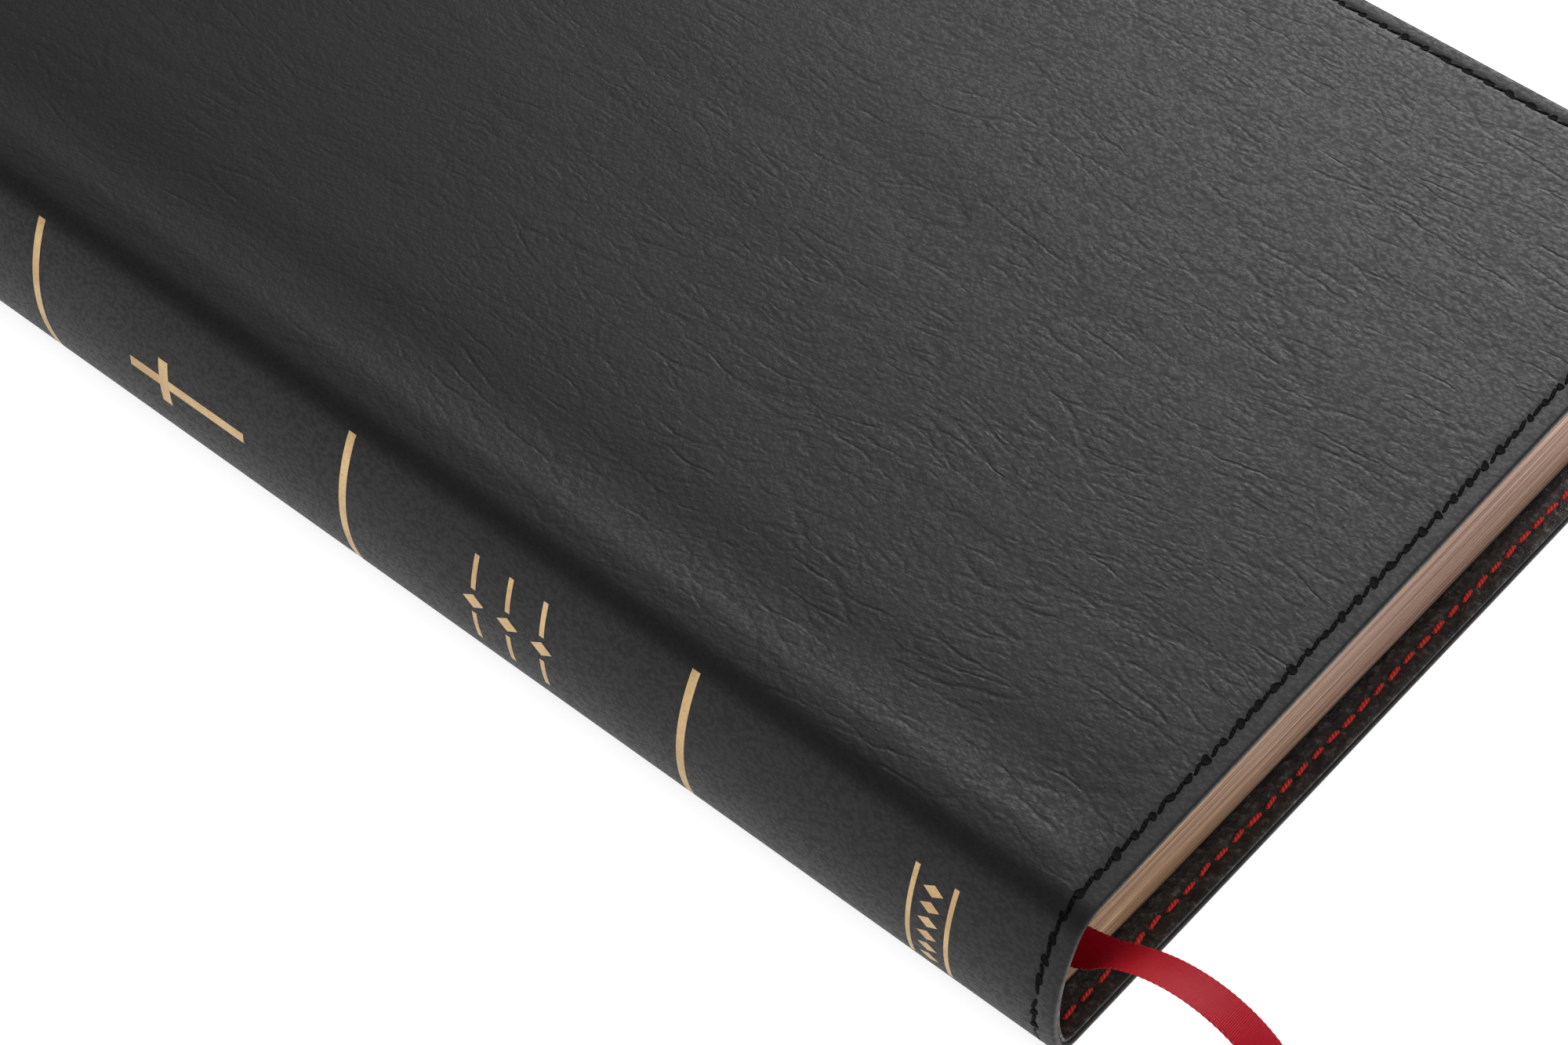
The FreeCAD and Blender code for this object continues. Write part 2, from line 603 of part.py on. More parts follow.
def share_out(prefix, count, low, high):
    """Divides a stack of sections into groups of the same thickness at the spine, numbered from the top."""
    for i in range(count):
        under = "(%s + (%s - %s) * %d / %d + %s)" % (low, high, low, i, count,
                                                     "0" if i == 0 else "Sizes.leaf_gap / 2")
        over = "(%s + (%s - %s) * %d / %d - %s)" % (low, high, low, i + 1, count,
                                                    "0" if i == count - 1 else "Sizes.leaf_gap / 2")
        leaf_group("%s_%d" % (prefix, count - i), under, over)


share_out("rear_leaves", REAR_GROUPS, "Worked.block_low", SPLIT_LOW)
share_out("front_leaves", FRONT_GROUPS, SPLIT_HIGH, "Worked.block_high")


def angle_at(height, turn):
    """Angle on the back of the block at a height, turned on by a little to clear the corner."""
    rise = "(%s - Sizes.spine_thickness / 2)" % height
    return "(asin(%s / Worked.block_arc) + %s)" % (rise, turn)


BACK_SPANS = {
    "rear": (angle_at("Worked.block_low", "1 deg"), angle_at(SPLIT_LOW, "-0.2 deg")),
    "front": (angle_at(SPLIT_HIGH, "0.2 deg"), angle_at("Worked.block_high", "-1 deg")),
}
LINED = "(Worked.leaf_height - 2 * Sizes.mull_setback)"
for part, (low, high) in BACK_SPANS.items():
    label = "mull_" + part
    pieces[label] = band_piece(label, "Worked.mull_arc", "Worked.glue_arc", low, high, LINED)
    label = "spine_paper_" + part
    pieces[label] = band_piece(label, "Worked.kraft_arc", "Worked.mull_arc", low, high, LINED)

# ---------------------------------------------------------------- ribbon marker
# It is glued to the back at the head, folds over the head edge, lies in the gutter at the split
# and leaves the leaves at the tail, where it arches out and falls to the table.
GUTTER = "(Sizes.ribbon_gutter + Worked.pivot_x)"
LEAF_END = "Worked.leaf_height / 2"
FOLD_RISE = 2.4
FOLD_GAP = 0.3
ribbon_inside = doc.addObject("Part::Box", "ribbon_between_leaves")
ribbon_inside.setExpression("Length", cell("ribbon_width"))
ribbon_inside.setExpression("Width", "Worked.leaf_height + %g" % FOLD_GAP)
ribbon_inside.setExpression("Height", cell("ribbon_thickness"))
SPLIT_SLOPE = ("(Sizes.splay * 1 deg * (Sizes.split_height - Worked.block_low)"
               " / (Worked.block_high - Worked.block_low))")
SPLIT_RISE = "(%s - %s) * tan%s" % (GUTTER, BACK_AT % "Sizes.split_height", SPLIT_SLOPE)
place(ribbon_inside, GUTTER,
      "Sizes.split_height + %s - Sizes.ribbon_thickness / 2" % SPLIT_RISE, "-" + LEAF_END,
      turn="-" + SPLIT_SLOPE)

anchor_high = angle_at("(Sizes.split_height + Sizes.ribbon_thickness / 2)", "0 deg")
anchor_low = angle_at("(Sizes.split_height + Sizes.ribbon_thickness / 2 - Sizes.ribbon_width)", "0 deg")
anchor = band_piece("ribbon_anchor", "(Worked.kraft_arc + Sizes.ribbon_thickness)", "Worked.kraft_arc",
                    anchor_low, anchor_high, cell("anchor_length"),
                    "(%s + %g - Sizes.anchor_length / 2)" % (LEAF_END, FOLD_GAP))

fold = doc.addObject("Part::Box", "ribbon_head_fold")
fold.setExpression("Length", "Sizes.ribbon_gutter + Sizes.ribbon_width - Sizes.leaf_gap / 2")
fold.Width = FOLD_RISE
fold.setExpression("Height", cell("ribbon_thickness"))
place(fold, "(Worked.pivot_x + Sizes.leaf_gap / 2)", "Sizes.split_height - Sizes.ribbon_thickness / 2",
      "%s + %g" % (LEAF_END, FOLD_GAP))

# Free tail: (distance beyond the block's tail face, height), chosen by hand.
TAIL_ROUTE = [
    (0.0, 16.1), (4.5, 16.9), (9.8, 21.4), (16.1, 23.9), (22.7, 24.0), (28.9, 21.7),
    (34.2, 16.8), (38.8, 10.2), (44.4, 4.9), (51.0, 1.3), (58.4, 0.4), (67.0, 1.0), (75.4, 0.3),
]
CORNER_SHARE = 0.45


def route_edges(points, shift):
    """Straight runs joined by tangent arcs, at a distance to one side of the route's line."""
    spots = [V(0, -y, z) for y, z in points]
    edges = []
    radii = []
    length = 0.0
    last = None
    for i in range(1, len(spots) - 1):
        before = spots[i] - spots[i - 1]
        after = spots[i + 1] - spots[i]
        turn = before.getAngle(after)
        cut = CORNER_SHARE * min(before.Length, after.Length)
        radius = cut / math.tan(turn / 2)
        into, out = V(before).normalize(), V(after).normalize()
        start, stop = spots[i] - into * cut, spots[i] + out * cut
        left_in = V(1, 0, 0).cross(into)
        left_out = V(1, 0, 0).cross(out)
        side = 1 if into.cross(out).x > 0 else -1
        centre = start + left_in * radius * side
        middle = (spots[i] - centre).normalize()
        here = start + left_in * shift
        there = stop + left_out * shift
        begin = spots[0] + left_in * shift if last is None else last
        edges.append(Part.LineSegment(begin, here).toShape())
        reach = (here - centre).Length
        edges.append(Part.Arc(here, centre + middle * reach, there).toShape())
        length += (start - (spots[0] if i == 1 else centre_line_end)).Length + radius * turn
        centre_line_end = stop
        last = there
        radii.append(round(radius, 1))
    end_way = (spots[-1] - spots[-2]).normalize()
    final = spots[-1] + V(1, 0, 0).cross(end_way) * shift
    edges.append(Part.LineSegment(last, final).toShape())
    length += (spots[-1] - centre_line_end).Length
    return edges, radii, length


left, radii, tail_length = route_edges(TAIL_ROUTE, S["ribbon_thickness"] / 2)
right, _, _ = route_edges(TAIL_ROUTE, -S["ribbon_thickness"] / 2)


def first_point(edges):
    return edges[0].Vertexes[0].Point


def end_point(edges):
    return edges[-1].valueAt(edges[-1].LastParameter)


caps = [Part.LineSegment(first_point(left), first_point(right)).toShape(),
        Part.LineSegment(end_point(left), end_point(right)).toShape()]
loop = Part.Wire(Part.__sortEdges__(left + right + caps))
tail = doc.addObject("Part::Feature", "ribbon_tail")
tail.Shape = Part.Face(loop).extrude(V(S["ribbon_width"], 0, 0))
place(tail, GUTTER, "0", "-" + LEAF_END)
expected = tail_length * S["ribbon_width"] * S["ribbon_thickness"]
print("ribbon tail: length %.1f, bends %s" % (tail_length, radii))
print("ribbon tail: volume %.2f of %.2f" % (tail.Shape.Volume, expected))
for piece in (ribbon_inside, anchor, fold, tail):
    pieces[piece.Label] = piece

# ---------------------------------------------------------------- check and write
doc.recompute()
for thing in doc.Objects:
    if "Invalid" in thing.State or "Error" in thing.State:
        raise RuntimeError("%s failed: %s" % (thing.Name, thing.State))
for label in sorted(pieces):
    shape = pieces[label].Shape
    if shape.isNull() or not shape.isValid() or not shape.Solids:
        raise RuntimeError("bad shape: " + label)
    shape.exportStep("parts/%s.step" % label)
    print("%-26s %3d solids %12.1f mm3" % (label, len(shape.Solids), shape.Volume))
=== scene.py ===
# %% [markdown]
# # A bible in a flexible sewn cover
#
# This notebook dresses a ready-made frame of a closed bible: black leather cover, rounded spine with gold
# foil, gilt leaves, two colours of stitching and a red satin ribbon.  The frame already has every size and
# every hinge, so each piece here is only laid over it, and many are then told which part of the book carries
# it.

# %% Load the frame
import json
import math

import bpy
import bmesh
import numpy as np
from mathutils import Matrix, Vector


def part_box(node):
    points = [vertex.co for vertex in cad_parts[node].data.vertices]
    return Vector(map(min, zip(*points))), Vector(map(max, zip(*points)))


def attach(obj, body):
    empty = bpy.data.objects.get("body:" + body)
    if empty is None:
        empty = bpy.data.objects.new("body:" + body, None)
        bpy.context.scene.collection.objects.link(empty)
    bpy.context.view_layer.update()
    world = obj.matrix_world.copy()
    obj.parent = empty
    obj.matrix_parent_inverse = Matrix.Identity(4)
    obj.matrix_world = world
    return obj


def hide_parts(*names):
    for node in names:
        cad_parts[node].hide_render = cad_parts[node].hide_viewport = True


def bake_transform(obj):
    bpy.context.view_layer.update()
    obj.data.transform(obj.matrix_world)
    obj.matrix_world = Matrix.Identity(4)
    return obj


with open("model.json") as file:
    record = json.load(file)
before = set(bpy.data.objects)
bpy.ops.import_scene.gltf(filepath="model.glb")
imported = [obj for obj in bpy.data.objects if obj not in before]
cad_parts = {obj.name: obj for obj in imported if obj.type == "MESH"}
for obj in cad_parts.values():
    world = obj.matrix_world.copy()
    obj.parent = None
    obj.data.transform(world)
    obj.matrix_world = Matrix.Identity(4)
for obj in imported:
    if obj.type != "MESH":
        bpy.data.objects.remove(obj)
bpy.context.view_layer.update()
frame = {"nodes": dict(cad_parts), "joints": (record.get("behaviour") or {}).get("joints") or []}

# %% [markdown]
# ## Sizes
#
# The cover's outer sizes are measured from the frame, in metres.  The few that it doesn't hold, such as the
# spine's radius and the leather's thickness, are given first.  The spine's outer line is an arc; at each side
# it rolls over a small shoulder on to a flat cover.  The two long hinges run along the fold lines where the
# arcs meet.

# %% Read the cover's sizes from the frame
MM = 0.001
SPINE_ARC = 30 * MM
SPLAY = math.radians(2.6)
STACK = 1.9 * MM
HEM = 1.3 * MM
LEATHER = 0.8 * MM
STITCH_INSET = 3.0 * MM
CORNER = 7 * MM
TURN = 6.28

hinges = {joint["name"]: Vector(joint["pos_m"]) for joint in frame["joints"]}
low_fold = hinges["spine_hinge"]
high_fold = hinges["front_cover_hinge"]
THICK = low_fold.z + high_fold.z
back_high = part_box("back_cover_skin")[1]
HALF = back_high.y
FORE = back_high.x
SPINE_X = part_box("spine_skin")[0].x
FOLD = math.asin((high_fold.z - THICK / 2) / SPINE_ARC)
SHOULDER = (THICK / 2 - SPINE_ARC * math.sin(FOLD)) / (1 - math.sin(FOLD))
arc_x = SPINE_X + SPINE_ARC
roll_x = high_fold.x + SHOULDER * math.cos(FOLD)
roll_z = THICK - SHOULDER
FOLD_AT = SPINE_ARC * FOLD
FLAT_AT = FOLD_AT + SHOULDER * (math.pi / 2 - FOLD)
REACH = FLAT_AT + FORE - roll_x
print("half height", round(HALF, 4), "fold line at", round(FOLD_AT, 5), "fore edge at", round(REACH, 5))

# %% [markdown]
# ## One sheet, three names
#
# On the real book a single sheet of leather wraps the back, the spine and the front.  It is easiest to draw
# a sheet flat, in a distance across and a distance along, and to bend it afterwards.  `bend` does that:
# `across` starts at the middle of the spine, `out` is the height above the leather's outer face.  The front
# cover stands a little open.

# %% Bend a flat sheet round the book
def smooth(t):
    t = np.clip(t, 0, 1)
    return t * t * (3 - 2 * t)


def bend(across, along, out, side="front"):
    """Points, in the frame's axes, of a sheet that is wrapped round the book."""
    across, along, out = np.broadcast_arrays(np.asarray(across, float), along, out)
    spine = across / SPINE_ARC
    x = arc_x - (SPINE_ARC + out) * np.cos(spine)
    z = THICK / 2 + (SPINE_ARC + out) * np.sin(spine)
    turn = np.clip(FOLD + (across - FOLD_AT) / SHOULDER, FOLD, math.pi / 2)
    past = np.maximum(across - FLAT_AT, 0)
    rolled = across > FOLD_AT
    x = np.where(rolled, roll_x - (SHOULDER + out) * np.cos(turn) + past, x)
    z = np.where(rolled, roll_z + (SHOULDER + out) * np.sin(turn), z)
    if side == "back":
        return np.stack([x, along, THICK - z], axis=-1)
    lift = SPLAY * smooth((across - FOLD_AT) / (FLAT_AT - FOLD_AT))
    dx, dz = x - high_fold.x, z - high_fold.z
    return np.stack([high_fold.x + dx * np.cos(lift) - dz * np.sin(lift), along,
                     high_fold.z + dx * np.sin(lift) + dz * np.cos(lift)], axis=-1)


print("fore edge of the front cover:", bend(REACH, 0.0, 0.0).round(4))

# %% [markdown]
# ## Meshes from arrays
#
# Large regular meshes are quickest to make from arrays of points and faces.  Each mesh also keeps named
# values at its points, such as where a point lies on the flat sheet: materials read them, so that the grain
# stays on the leather when the cover bends.

# %% Make a mesh object
def make_mesh(name, points, faces, values=None, sharp=40):
    mesh = bpy.data.meshes.new(name)
    mesh.from_pydata(np.asarray(points, float).tolist(), [], faces)
    for key, value in (values or {}).items():
        value = np.asarray(value, np.float32)
        kind = "FLOAT_VECTOR" if value.ndim == 2 else "FLOAT"
        layer = mesh.attributes.new(key, kind, "POINT")
        layer.data.foreach_set("vector" if value.ndim == 2 else "value", value.ravel())
    mesh.validate()
    piece = bpy.data.objects.new(name, mesh)
    bpy.context.scene.collection.objects.link(piece)
    work = bmesh.new()
    work.from_mesh(mesh)
    bmesh.ops.recalc_face_normals(work, faces=work.faces)
    work.to_mesh(mesh)
    work.free()
    mesh.shade_smooth()
    mesh.set_sharp_from_angle(angle=math.radians(sharp))
    return piece


def grid_faces(index):
    """Four-sided faces between the neighbours of a table of point numbers."""
    a, b, c, d = index[:-1, :-1], index[1:, :-1], index[1:, 1:], index[:-1, 1:]
    return np.stack([a, b, c, d], axis=-1).reshape(-1, 4).tolist()


def steps(start, stop, size):
    return np.linspace(start, stop, max(2, int(round(abs(stop - start) / size)) + 1))


# %% [markdown]
# ## A sheet with a rolled rim
#
# A sheet's middle is a plain grid.  Its rim is a section carried round the tail, the fore edge and the
# head, with a fan of sections at each rounded corner.  The section goes out over the outer face, round the
# edge and back along the inner face, so that the sheet is a closed solid.  `rim` lists the section's
# places: distance out from the inner rectangle, height, and whether the place is on the outer face.

# %% Build a closed sheet
CORNER_FAN = 10


def sheet(name, start, stop, half, corner, rim, top, under, cell, side, relief):
    """A bent closed sheet from across=start to stop; relief(across, along, inset) lifts its outer face."""
    edge_s, edge_y = stop - corner, half - corner
    across = steps(start, edge_s, cell)
    along = steps(-edge_y, edge_y, cell)
    n, m = len(across), len(along)
    spots = [(s, -edge_y, 0.0, -1.0, i * m) for i, s in enumerate(across)]
    angles = np.linspace(-math.pi / 2, 0, CORNER_FAN + 2)[1:-1]
    spots += [(edge_s, -edge_y, math.cos(a), math.sin(a), (n - 1) * m) for a in angles]
    spots += [(edge_s, y, 1.0, 0.0, (n - 1) * m + j) for j, y in enumerate(along)]
    spots += [(edge_s, edge_y, math.cos(a), math.sin(a), n * m - 1) for a in angles + math.pi / 2]
    spots += [(s, edge_y, 0.0, 1.0, i * m + m - 1) for i, s in reversed(list(enumerate(across)))]
    spots = np.array(spots)
    base = spots[:, 4].astype(int)
    grid_s, grid_y = (g.ravel() for g in np.meshgrid(across, along, indexing="ij"))
    count = n * m
    outs = np.array([r[0] for r in rim])
    highs = np.array([r[1] for r in rim])
    rim_s = (spots[:, :1] + spots[:, 2:3] * outs).ravel()
    rim_y = (spots[:, 1:2] + spots[:, 3:4] * outs).ravel()
    rim_h = np.tile(highs, len(spots))
    s = np.concatenate([grid_s, grid_s, rim_s])
    y = np.concatenate([grid_y, grid_y, rim_y])
    inset = np.maximum(np.minimum(stop - s, half - abs(y)), corner)
    inset[2 * count:] = np.tile(corner - outs, len(spots))
    h = np.concatenate([np.full(count, top), np.full(count, under), rim_h])
    face = np.concatenate([np.ones(count), np.zeros(count),
                           np.tile([1.0 if r[2] else 0.0 for r in rim], len(spots))])
    h = h + face * relief(s, y, inset)
    first = 2 * count
    ring = first + np.arange(len(spots) * len(rim)).reshape(len(spots), len(rim))
    loops = np.concatenate([base[:, None], ring, base[:, None] + count], axis=1)
    grid = np.arange(count).reshape(n, m)
    faces = grid_faces(grid) + grid_faces((grid + count)[::-1]) + grid_faces(loops)
    faces = [list(dict.fromkeys(f)) for f in faces]
    faces = [f for f in faces if len(f) > 2]
    cap = np.stack([grid[0], grid[0] + count])
    faces += grid_faces(cap)
    faces += [loops[0].tolist(), loops[-1].tolist()]
    sign = 1.0 if side == "front" else -1.0
    flat = np.stack([s * sign, y, np.zeros_like(s)], axis=-1)
    return make_mesh(name, bend(s, y, h, side), faces, {"flat": flat, "inset": inset, "outer": face})


# %% [markdown]
# ## How the leather lies
#
# Thin leather over a card isn't flat.  Behind the shoulder it has a soft ridge and a shallow hollow, its
# middle rises and falls by a tenth of a millimetre, and long folds run along the book.  Summed sine waves,
# drawn at random from a fixed seed, give that without any picture, and give it again on each run.

# %% Soft relief of the leather
SWELL, FOLD_DEPTH, RIDGE, GROOVE = 0.10 * MM, 0.03 * MM, 0.20 * MM, 0.20 * MM
RIDGE_AT, HOLLOW_AT = 20.5 * MM, 29 * MM
random = np.random.default_rng(7)
WAVES = [(random.uniform(20, 60), random.uniform(40, 140), random.uniform(0, TURN), random.uniform(0, TURN))
         for _ in range(7)]
FOLD_LINES = [(random.uniform(26, 150), random.uniform(0.6, 1.4), random.uniform(0, TURN),
               random.uniform(40, 90), random.uniform(-0.12, 0.05)) for _ in range(26)]


def swells(s, y):
    total = 0.0
    for wide, long, shift, drift in WAVES:
        total = total + np.sin(TURN * s / (wide * MM) + shift + 1.2 * np.sin(TURN * y / (long * MM) + drift))
    return total / len(WAVES)


def long_folds(s, y):
    """Shallow valleys that wander along the book."""
    total = 0.0
    for place, wide, shift, long, lean in FOLD_LINES:
        line = place * MM + lean * y + 2.2 * MM * np.sin(TURN * y / (long * MM) + shift)
        fade = 0.5 + 0.5 * np.sin(TURN * y / (2.3 * long * MM) + 3 * shift)
        total = total - fade * np.exp(-((s - line) / (wide * MM)) ** 2)
    return total


def leather_relief(s, y, inset):
    panel = smooth((s - FLAT_AT) / (8 * MM))
    calm = smooth((inset - 3.5 * MM) / (6 * MM))
    ridge = np.exp(-((s - RIDGE_AT) / (2.6 * MM)) ** 2) - 1.1 * np.exp(-((s - HOLLOW_AT) / (5 * MM)) ** 2)
    groove = np.exp(-((inset - STITCH_INSET) / (0.55 * MM)) ** 2)
    folds = FOLD_DEPTH * long_folds(s, y) * smooth((s - 12 * MM) / (10 * MM))
    body = SWELL * swells(s, y) * panel + folds
    return body * calm + RIDGE * ridge * calm - GROOVE * groove


print("relief at one spot of the front cover:", leather_relief(0.05, 0.0, 0.05).round(6), "m")

# %% [markdown]
# ## The leather cover
#
# The sheet crosses two hinges, but a mesh can bend across only one.  So the leather is made as two sheets
# that meet low on the spine: the front one bends at the upper fold line, the back one at the lower.  Both
# follow the spine where they meet, so the join never opens.

# %% Make the two leather sheets
SEAM = 7.5 * MM


def rim_section(top, under, corner, edge_round):
    """Section of a sheet's rim: out over the face, round the edge, back under."""
    section = [(corner * t, top, True) for t in (0.2, 0.34, 0.42, 0.48, 0.53, 0.572, 0.62, 0.68, 0.76, 0.86)]
    middle = (top + under) / 2
    tall = (top - under) / 2
    for i in range(8):
        a = math.pi / 2 - math.pi * i / 7
        section.append((corner - edge_round + edge_round * math.cos(a), middle + tall * math.sin(a), i < 2))
    return section + [(corner * t, under, False) for t in (0.8, 0.4)]


leather_rim = rim_section(0.0, -HEM, CORNER, 0.45 * MM)
leather_front = sheet("leather_front", -SEAM, REACH, HALF, CORNER, leather_rim, 0.0, -LEATHER, 1.0 * MM,
                      "front", leather_relief)
leather_back = sheet("leather_back", SEAM, REACH, HALF, CORNER, leather_rim, 0.0, -LEATHER, 1.4 * MM,
                     "back", lambda s, y, inset: np.minimum(0.35 * leather_relief(s, y, inset), 0))
for piece in (leather_front, leather_back):
    print(piece.name, len(piece.data.vertices), "points")

# %% [markdown]
# ## The lining
#
# A thinner, rougher leather lines the cover.  It is the same closed sheet, built inside out: its visible
# face looks towards the leaves, and it stops a hair short of the leather's edge, which leaves the cut edge
# in sight.

# %% Make the two lining sheets
LINING_SET = 0.35 * MM
LINING_OUT = -HEM - 0.02 * MM
lining_rim = rim_section(-STACK, LINING_OUT, CORNER, 0.2 * MM)


def lining_relief(s, y, inset):
    groove = np.exp(-((inset - STITCH_INSET + LINING_SET) / (0.6 * MM)) ** 2)
    rough = np.sin(s * 3100 + 3 * np.sin(y * 900)) * np.sin(y * 2300 + 2 * np.sin(s * 1300))
    return 0.18 * MM * groove + 0.03 * MM * rough


lining_front = sheet("lining_front", -SEAM, REACH - LINING_SET, HALF - LINING_SET, CORNER, lining_rim,
                     -STACK, LINING_OUT, 1.6 * MM, "front", lining_relief)
lining_back = sheet("lining_back", SEAM, REACH - LINING_SET, HALF - LINING_SET, CORNER, lining_rim,
                    -STACK, LINING_OUT, 1.6 * MM, "back", lining_relief)
print("lining sheets:", len(lining_front.data.vertices), len(lining_back.data.vertices), "points")

# %% [markdown]
# ## Stitches
#
# The edge is sewn all round with a black thread outside and a red one inside.  A stitch is a plump, twisted
# length of thread that dives into a needle hole at each end.  All the stitches of a panel are drawn flat,
# in one array, and then bent round the book like the leather itself.

# %% Walk along the sewn line
PITCH = 3.6 * MM


def sewn_line(inset, start):
    """Places and headings of the stitches of one cover: tail, fore edge, head."""
    edge_s, edge_y, radius = REACH - CORNER, HALF - CORNER, CORNER - inset
    side_run, turn, fore_run = edge_s - start, radius * math.pi / 2, 2 * edge_y
    total = 2 * side_run + 2 * turn + fore_run
    count = int(round(total / PITCH))
    for i in range(count):
        d = total * (i + 0.5) / count
        mirror = 1
        if d > total / 2:
            d, mirror = total - d, -1
        if d < side_run:
            yield start + d, mirror * -(edge_y + radius), 0.0
        elif d < side_run + turn:
            a = (d - side_run) / radius
            yield edge_s + radius * math.sin(a), mirror * -(edge_y + radius * math.cos(a)), a * mirror
        else:
            yield edge_s + radius, mirror * (d - side_run - turn - edge_y), math.pi / 2 * mirror


def spine_line(inset, limit):
    """Places of the stitches across the two ends of one half of the spine, out from its middle."""
    count = int(round(limit / PITCH))
    for end in (-1, 1):
        for i in range(count):
            yield limit * (i + 0.5) / count, end * (HALF - inset), 0.0


# %% Shape one stitch
AROUND, LENGTHWISE = 10, 13
DIVE = 0.55


def thread(places, long, wide, tall, level, slant, side, name):
    """Stitches at these places; level is the height of their middle line, tall may point inwards."""
    t = np.linspace(-1, 1, LENGTHWISE)[:, None]
    a = np.linspace(0, 2 * math.pi, AROUND, endpoint=False)[None, :]
    taper = np.sqrt(np.clip(1 - 0.92 * np.abs(t) ** 3.5, 0, 1))
    ply = 1 + 0.09 * np.cos(2 * a + 9 * t)
    across = wide / 2 * taper * ply * np.cos(a)
    lift = tall / 2 * taper * ply * np.sin(a) - tall * DIVE * np.abs(t) ** 4
    run = long / 2 * t + 0 * a
    points, faces, twist = [], [], []
    ring = np.arange(LENGTHWISE * AROUND).reshape(LENGTHWISE, AROUND)
    ring = np.concatenate([ring, ring[:, :1]], axis=1)
    one = grid_faces(ring) + [ring[0, :-1].tolist(), ring[-1, :-1].tolist()]
    for s, y, heading in places:
        tilt = heading + slant + random.normal(0, 0.07)
        c, k = math.cos(tilt), math.sin(tilt)
        shift = random.normal(0, 0.05 * MM, 2)
        size = random.uniform(0.90, 1.08)
        px = s + shift[0] + size * (run * c - across * k)
        py = y + shift[1] + size * (run * k + across * c)
        offset = len(points) * LENGTHWISE * AROUND
        points.append(bend(px, py, level + lift, side).reshape(-1, 3))
        winding = np.stack([run + 0 * a, a + 0 * t, np.full_like(run, random.uniform())], axis=-1)
        twist.append(winding.reshape(-1, 3))
        faces += [[i + offset for i in f] for f in one]
    return make_mesh(name, np.concatenate(points), faces, {"twist": np.concatenate(twist)}, 60)


# %% Sew both covers and the spine
OUTER_INSET, INNER_INSET = STITCH_INSET, 2.75 * MM
FIRST_STITCH = FLAT_AT + 0.4 * MM
SPINE_LIMIT = FLAT_AT + 0.2 * MM
# Each thread: inset, colour, length, width, height (below nought points inwards), level and slant.
THREADS = {
    "outer": (OUTER_INSET, "black", 3.0 * MM, 0.64 * MM, 0.34 * MM, -0.19 * MM, 0.26),
    "inner": (INNER_INSET, "red", 2.95 * MM, 0.70 * MM, -0.5 * MM, -STACK + 0.02 * MM, 0.08),
}
# Each row: the side it is bent to, its line, where that line starts or stops, and its name.
SEWN_ROWS = {
    "front": ("front", sewn_line, FIRST_STITCH, "front"),
    "back": ("back", sewn_line, FIRST_STITCH, "back"),
    "upper": ("front", spine_line, SPINE_LIMIT, "upper_spine"),
    "lower": ("back", spine_line, SPINE_LIMIT, "lower_spine"),
}
stitches = {}
for row, (side, line, limit, title) in SEWN_ROWS.items():
    for face, (inset, colour, *shape) in THREADS.items():
        stitches[row, face] = thread(line(inset, limit), *shape, side, title + "_" + colour + "_stitches")
print({key: len(piece.data.polygons) for key, piece in stitches.items()})

# %% [markdown]
# ## Needle holes
#
# Between two stitches the needle has left a small pit, dark with shade.  A pit this small reads as a spot of
# black, so it is a shallow dished oval with a ragged rim, set into the leather, with a nearly black finish
# that is painted shade.

# %% Punch the needle holes
HOLE_SIZE, HOLE_LEVEL, HOLE_DEPTH = 0.54 * MM, -0.01 * MM, 0.12 * MM


def needle_holes(places, side, name):
    rings, around = 3, 14
    a = np.linspace(0, 2 * math.pi, around, endpoint=False)
    points, faces = [], []
    for s, y, heading in places:
        offset = len(points) * (rings * around + 1)
        lean = heading + random.normal(0.4, 0.3)
        c, k = math.cos(lean), math.sin(lean)
        ragged = 1 + 0.16 * np.sin(2 * a + random.uniform(0, TURN))
        ragged = ragged + 0.12 * np.sin(3 * a + random.uniform(0, TURN))
        grown = HOLE_SIZE * random.uniform(0.75, 1.15) * ragged
        here = []
        for reach, drop in ((1.0, 0.0), (0.72, 0.5), (0.9, 1.6)):
            u = np.cos(a) * grown * reach * 1.45
            v = np.sin(a) * grown * reach
            here.append(bend(s + u * c - v * k, y + u * k + v * c, HOLE_LEVEL - HOLE_DEPTH * drop, side))
        here.append(bend(s, y, HOLE_LEVEL - HOLE_DEPTH * 0.9, side)[None, :])
        points.append(np.concatenate(here))
        ring = np.arange(rings * around).reshape(rings, around)
        ring = np.concatenate([ring, ring[:, :1]], axis=1) + offset
        centre = offset + rings * around
        faces += grid_faces(ring[[1, 0, 2]]) + [ring[2, :-1].tolist()]
        faces += [[ring[1, i], ring[1, i + 1], centre] for i in range(around)]
    return make_mesh(name, np.concatenate(points), faces, None, 30)


def between(places, ends=0.0):
    """The places halfway from each stitch to the next of its row, and beyond its two ends if asked."""
    places = list(places)
    if ends:
        first, last = places[0], places[-1]
        places = [(first[0] - ends, first[1], first[2]), *places, (last[0] - ends, last[1], last[2])]
    for (s0, y0, h0), (s1, y1, h1) in zip(places, places[1:]):
        if math.hypot(s1 - s0, y1 - y0) < 1.6 * PITCH:
            yield (s0 + s1) / 2, (y0 + y1) / 2, (h0 + h1) / 2


holes = {}
for row, (side, line, limit, title) in SEWN_ROWS.items():
    ends = PITCH if line is sewn_line else 0.0
    holes[row] = needle_holes(between(line(OUTER_INSET, limit), ends), side, title + "_needle_hole_shade")
print({key: len(piece.data.polygons) for key, piece in holes.items()})

# %% [markdown]
# ## Gold on the spine
#
# Foil is stamped flat into the leather.  The bars and diamonds are drawn on the flat sheet, cut finely
# enough to follow the curve.  They stand a fortieth of a millimetre proud, more than real foil does, so that
# the leather never shows through.

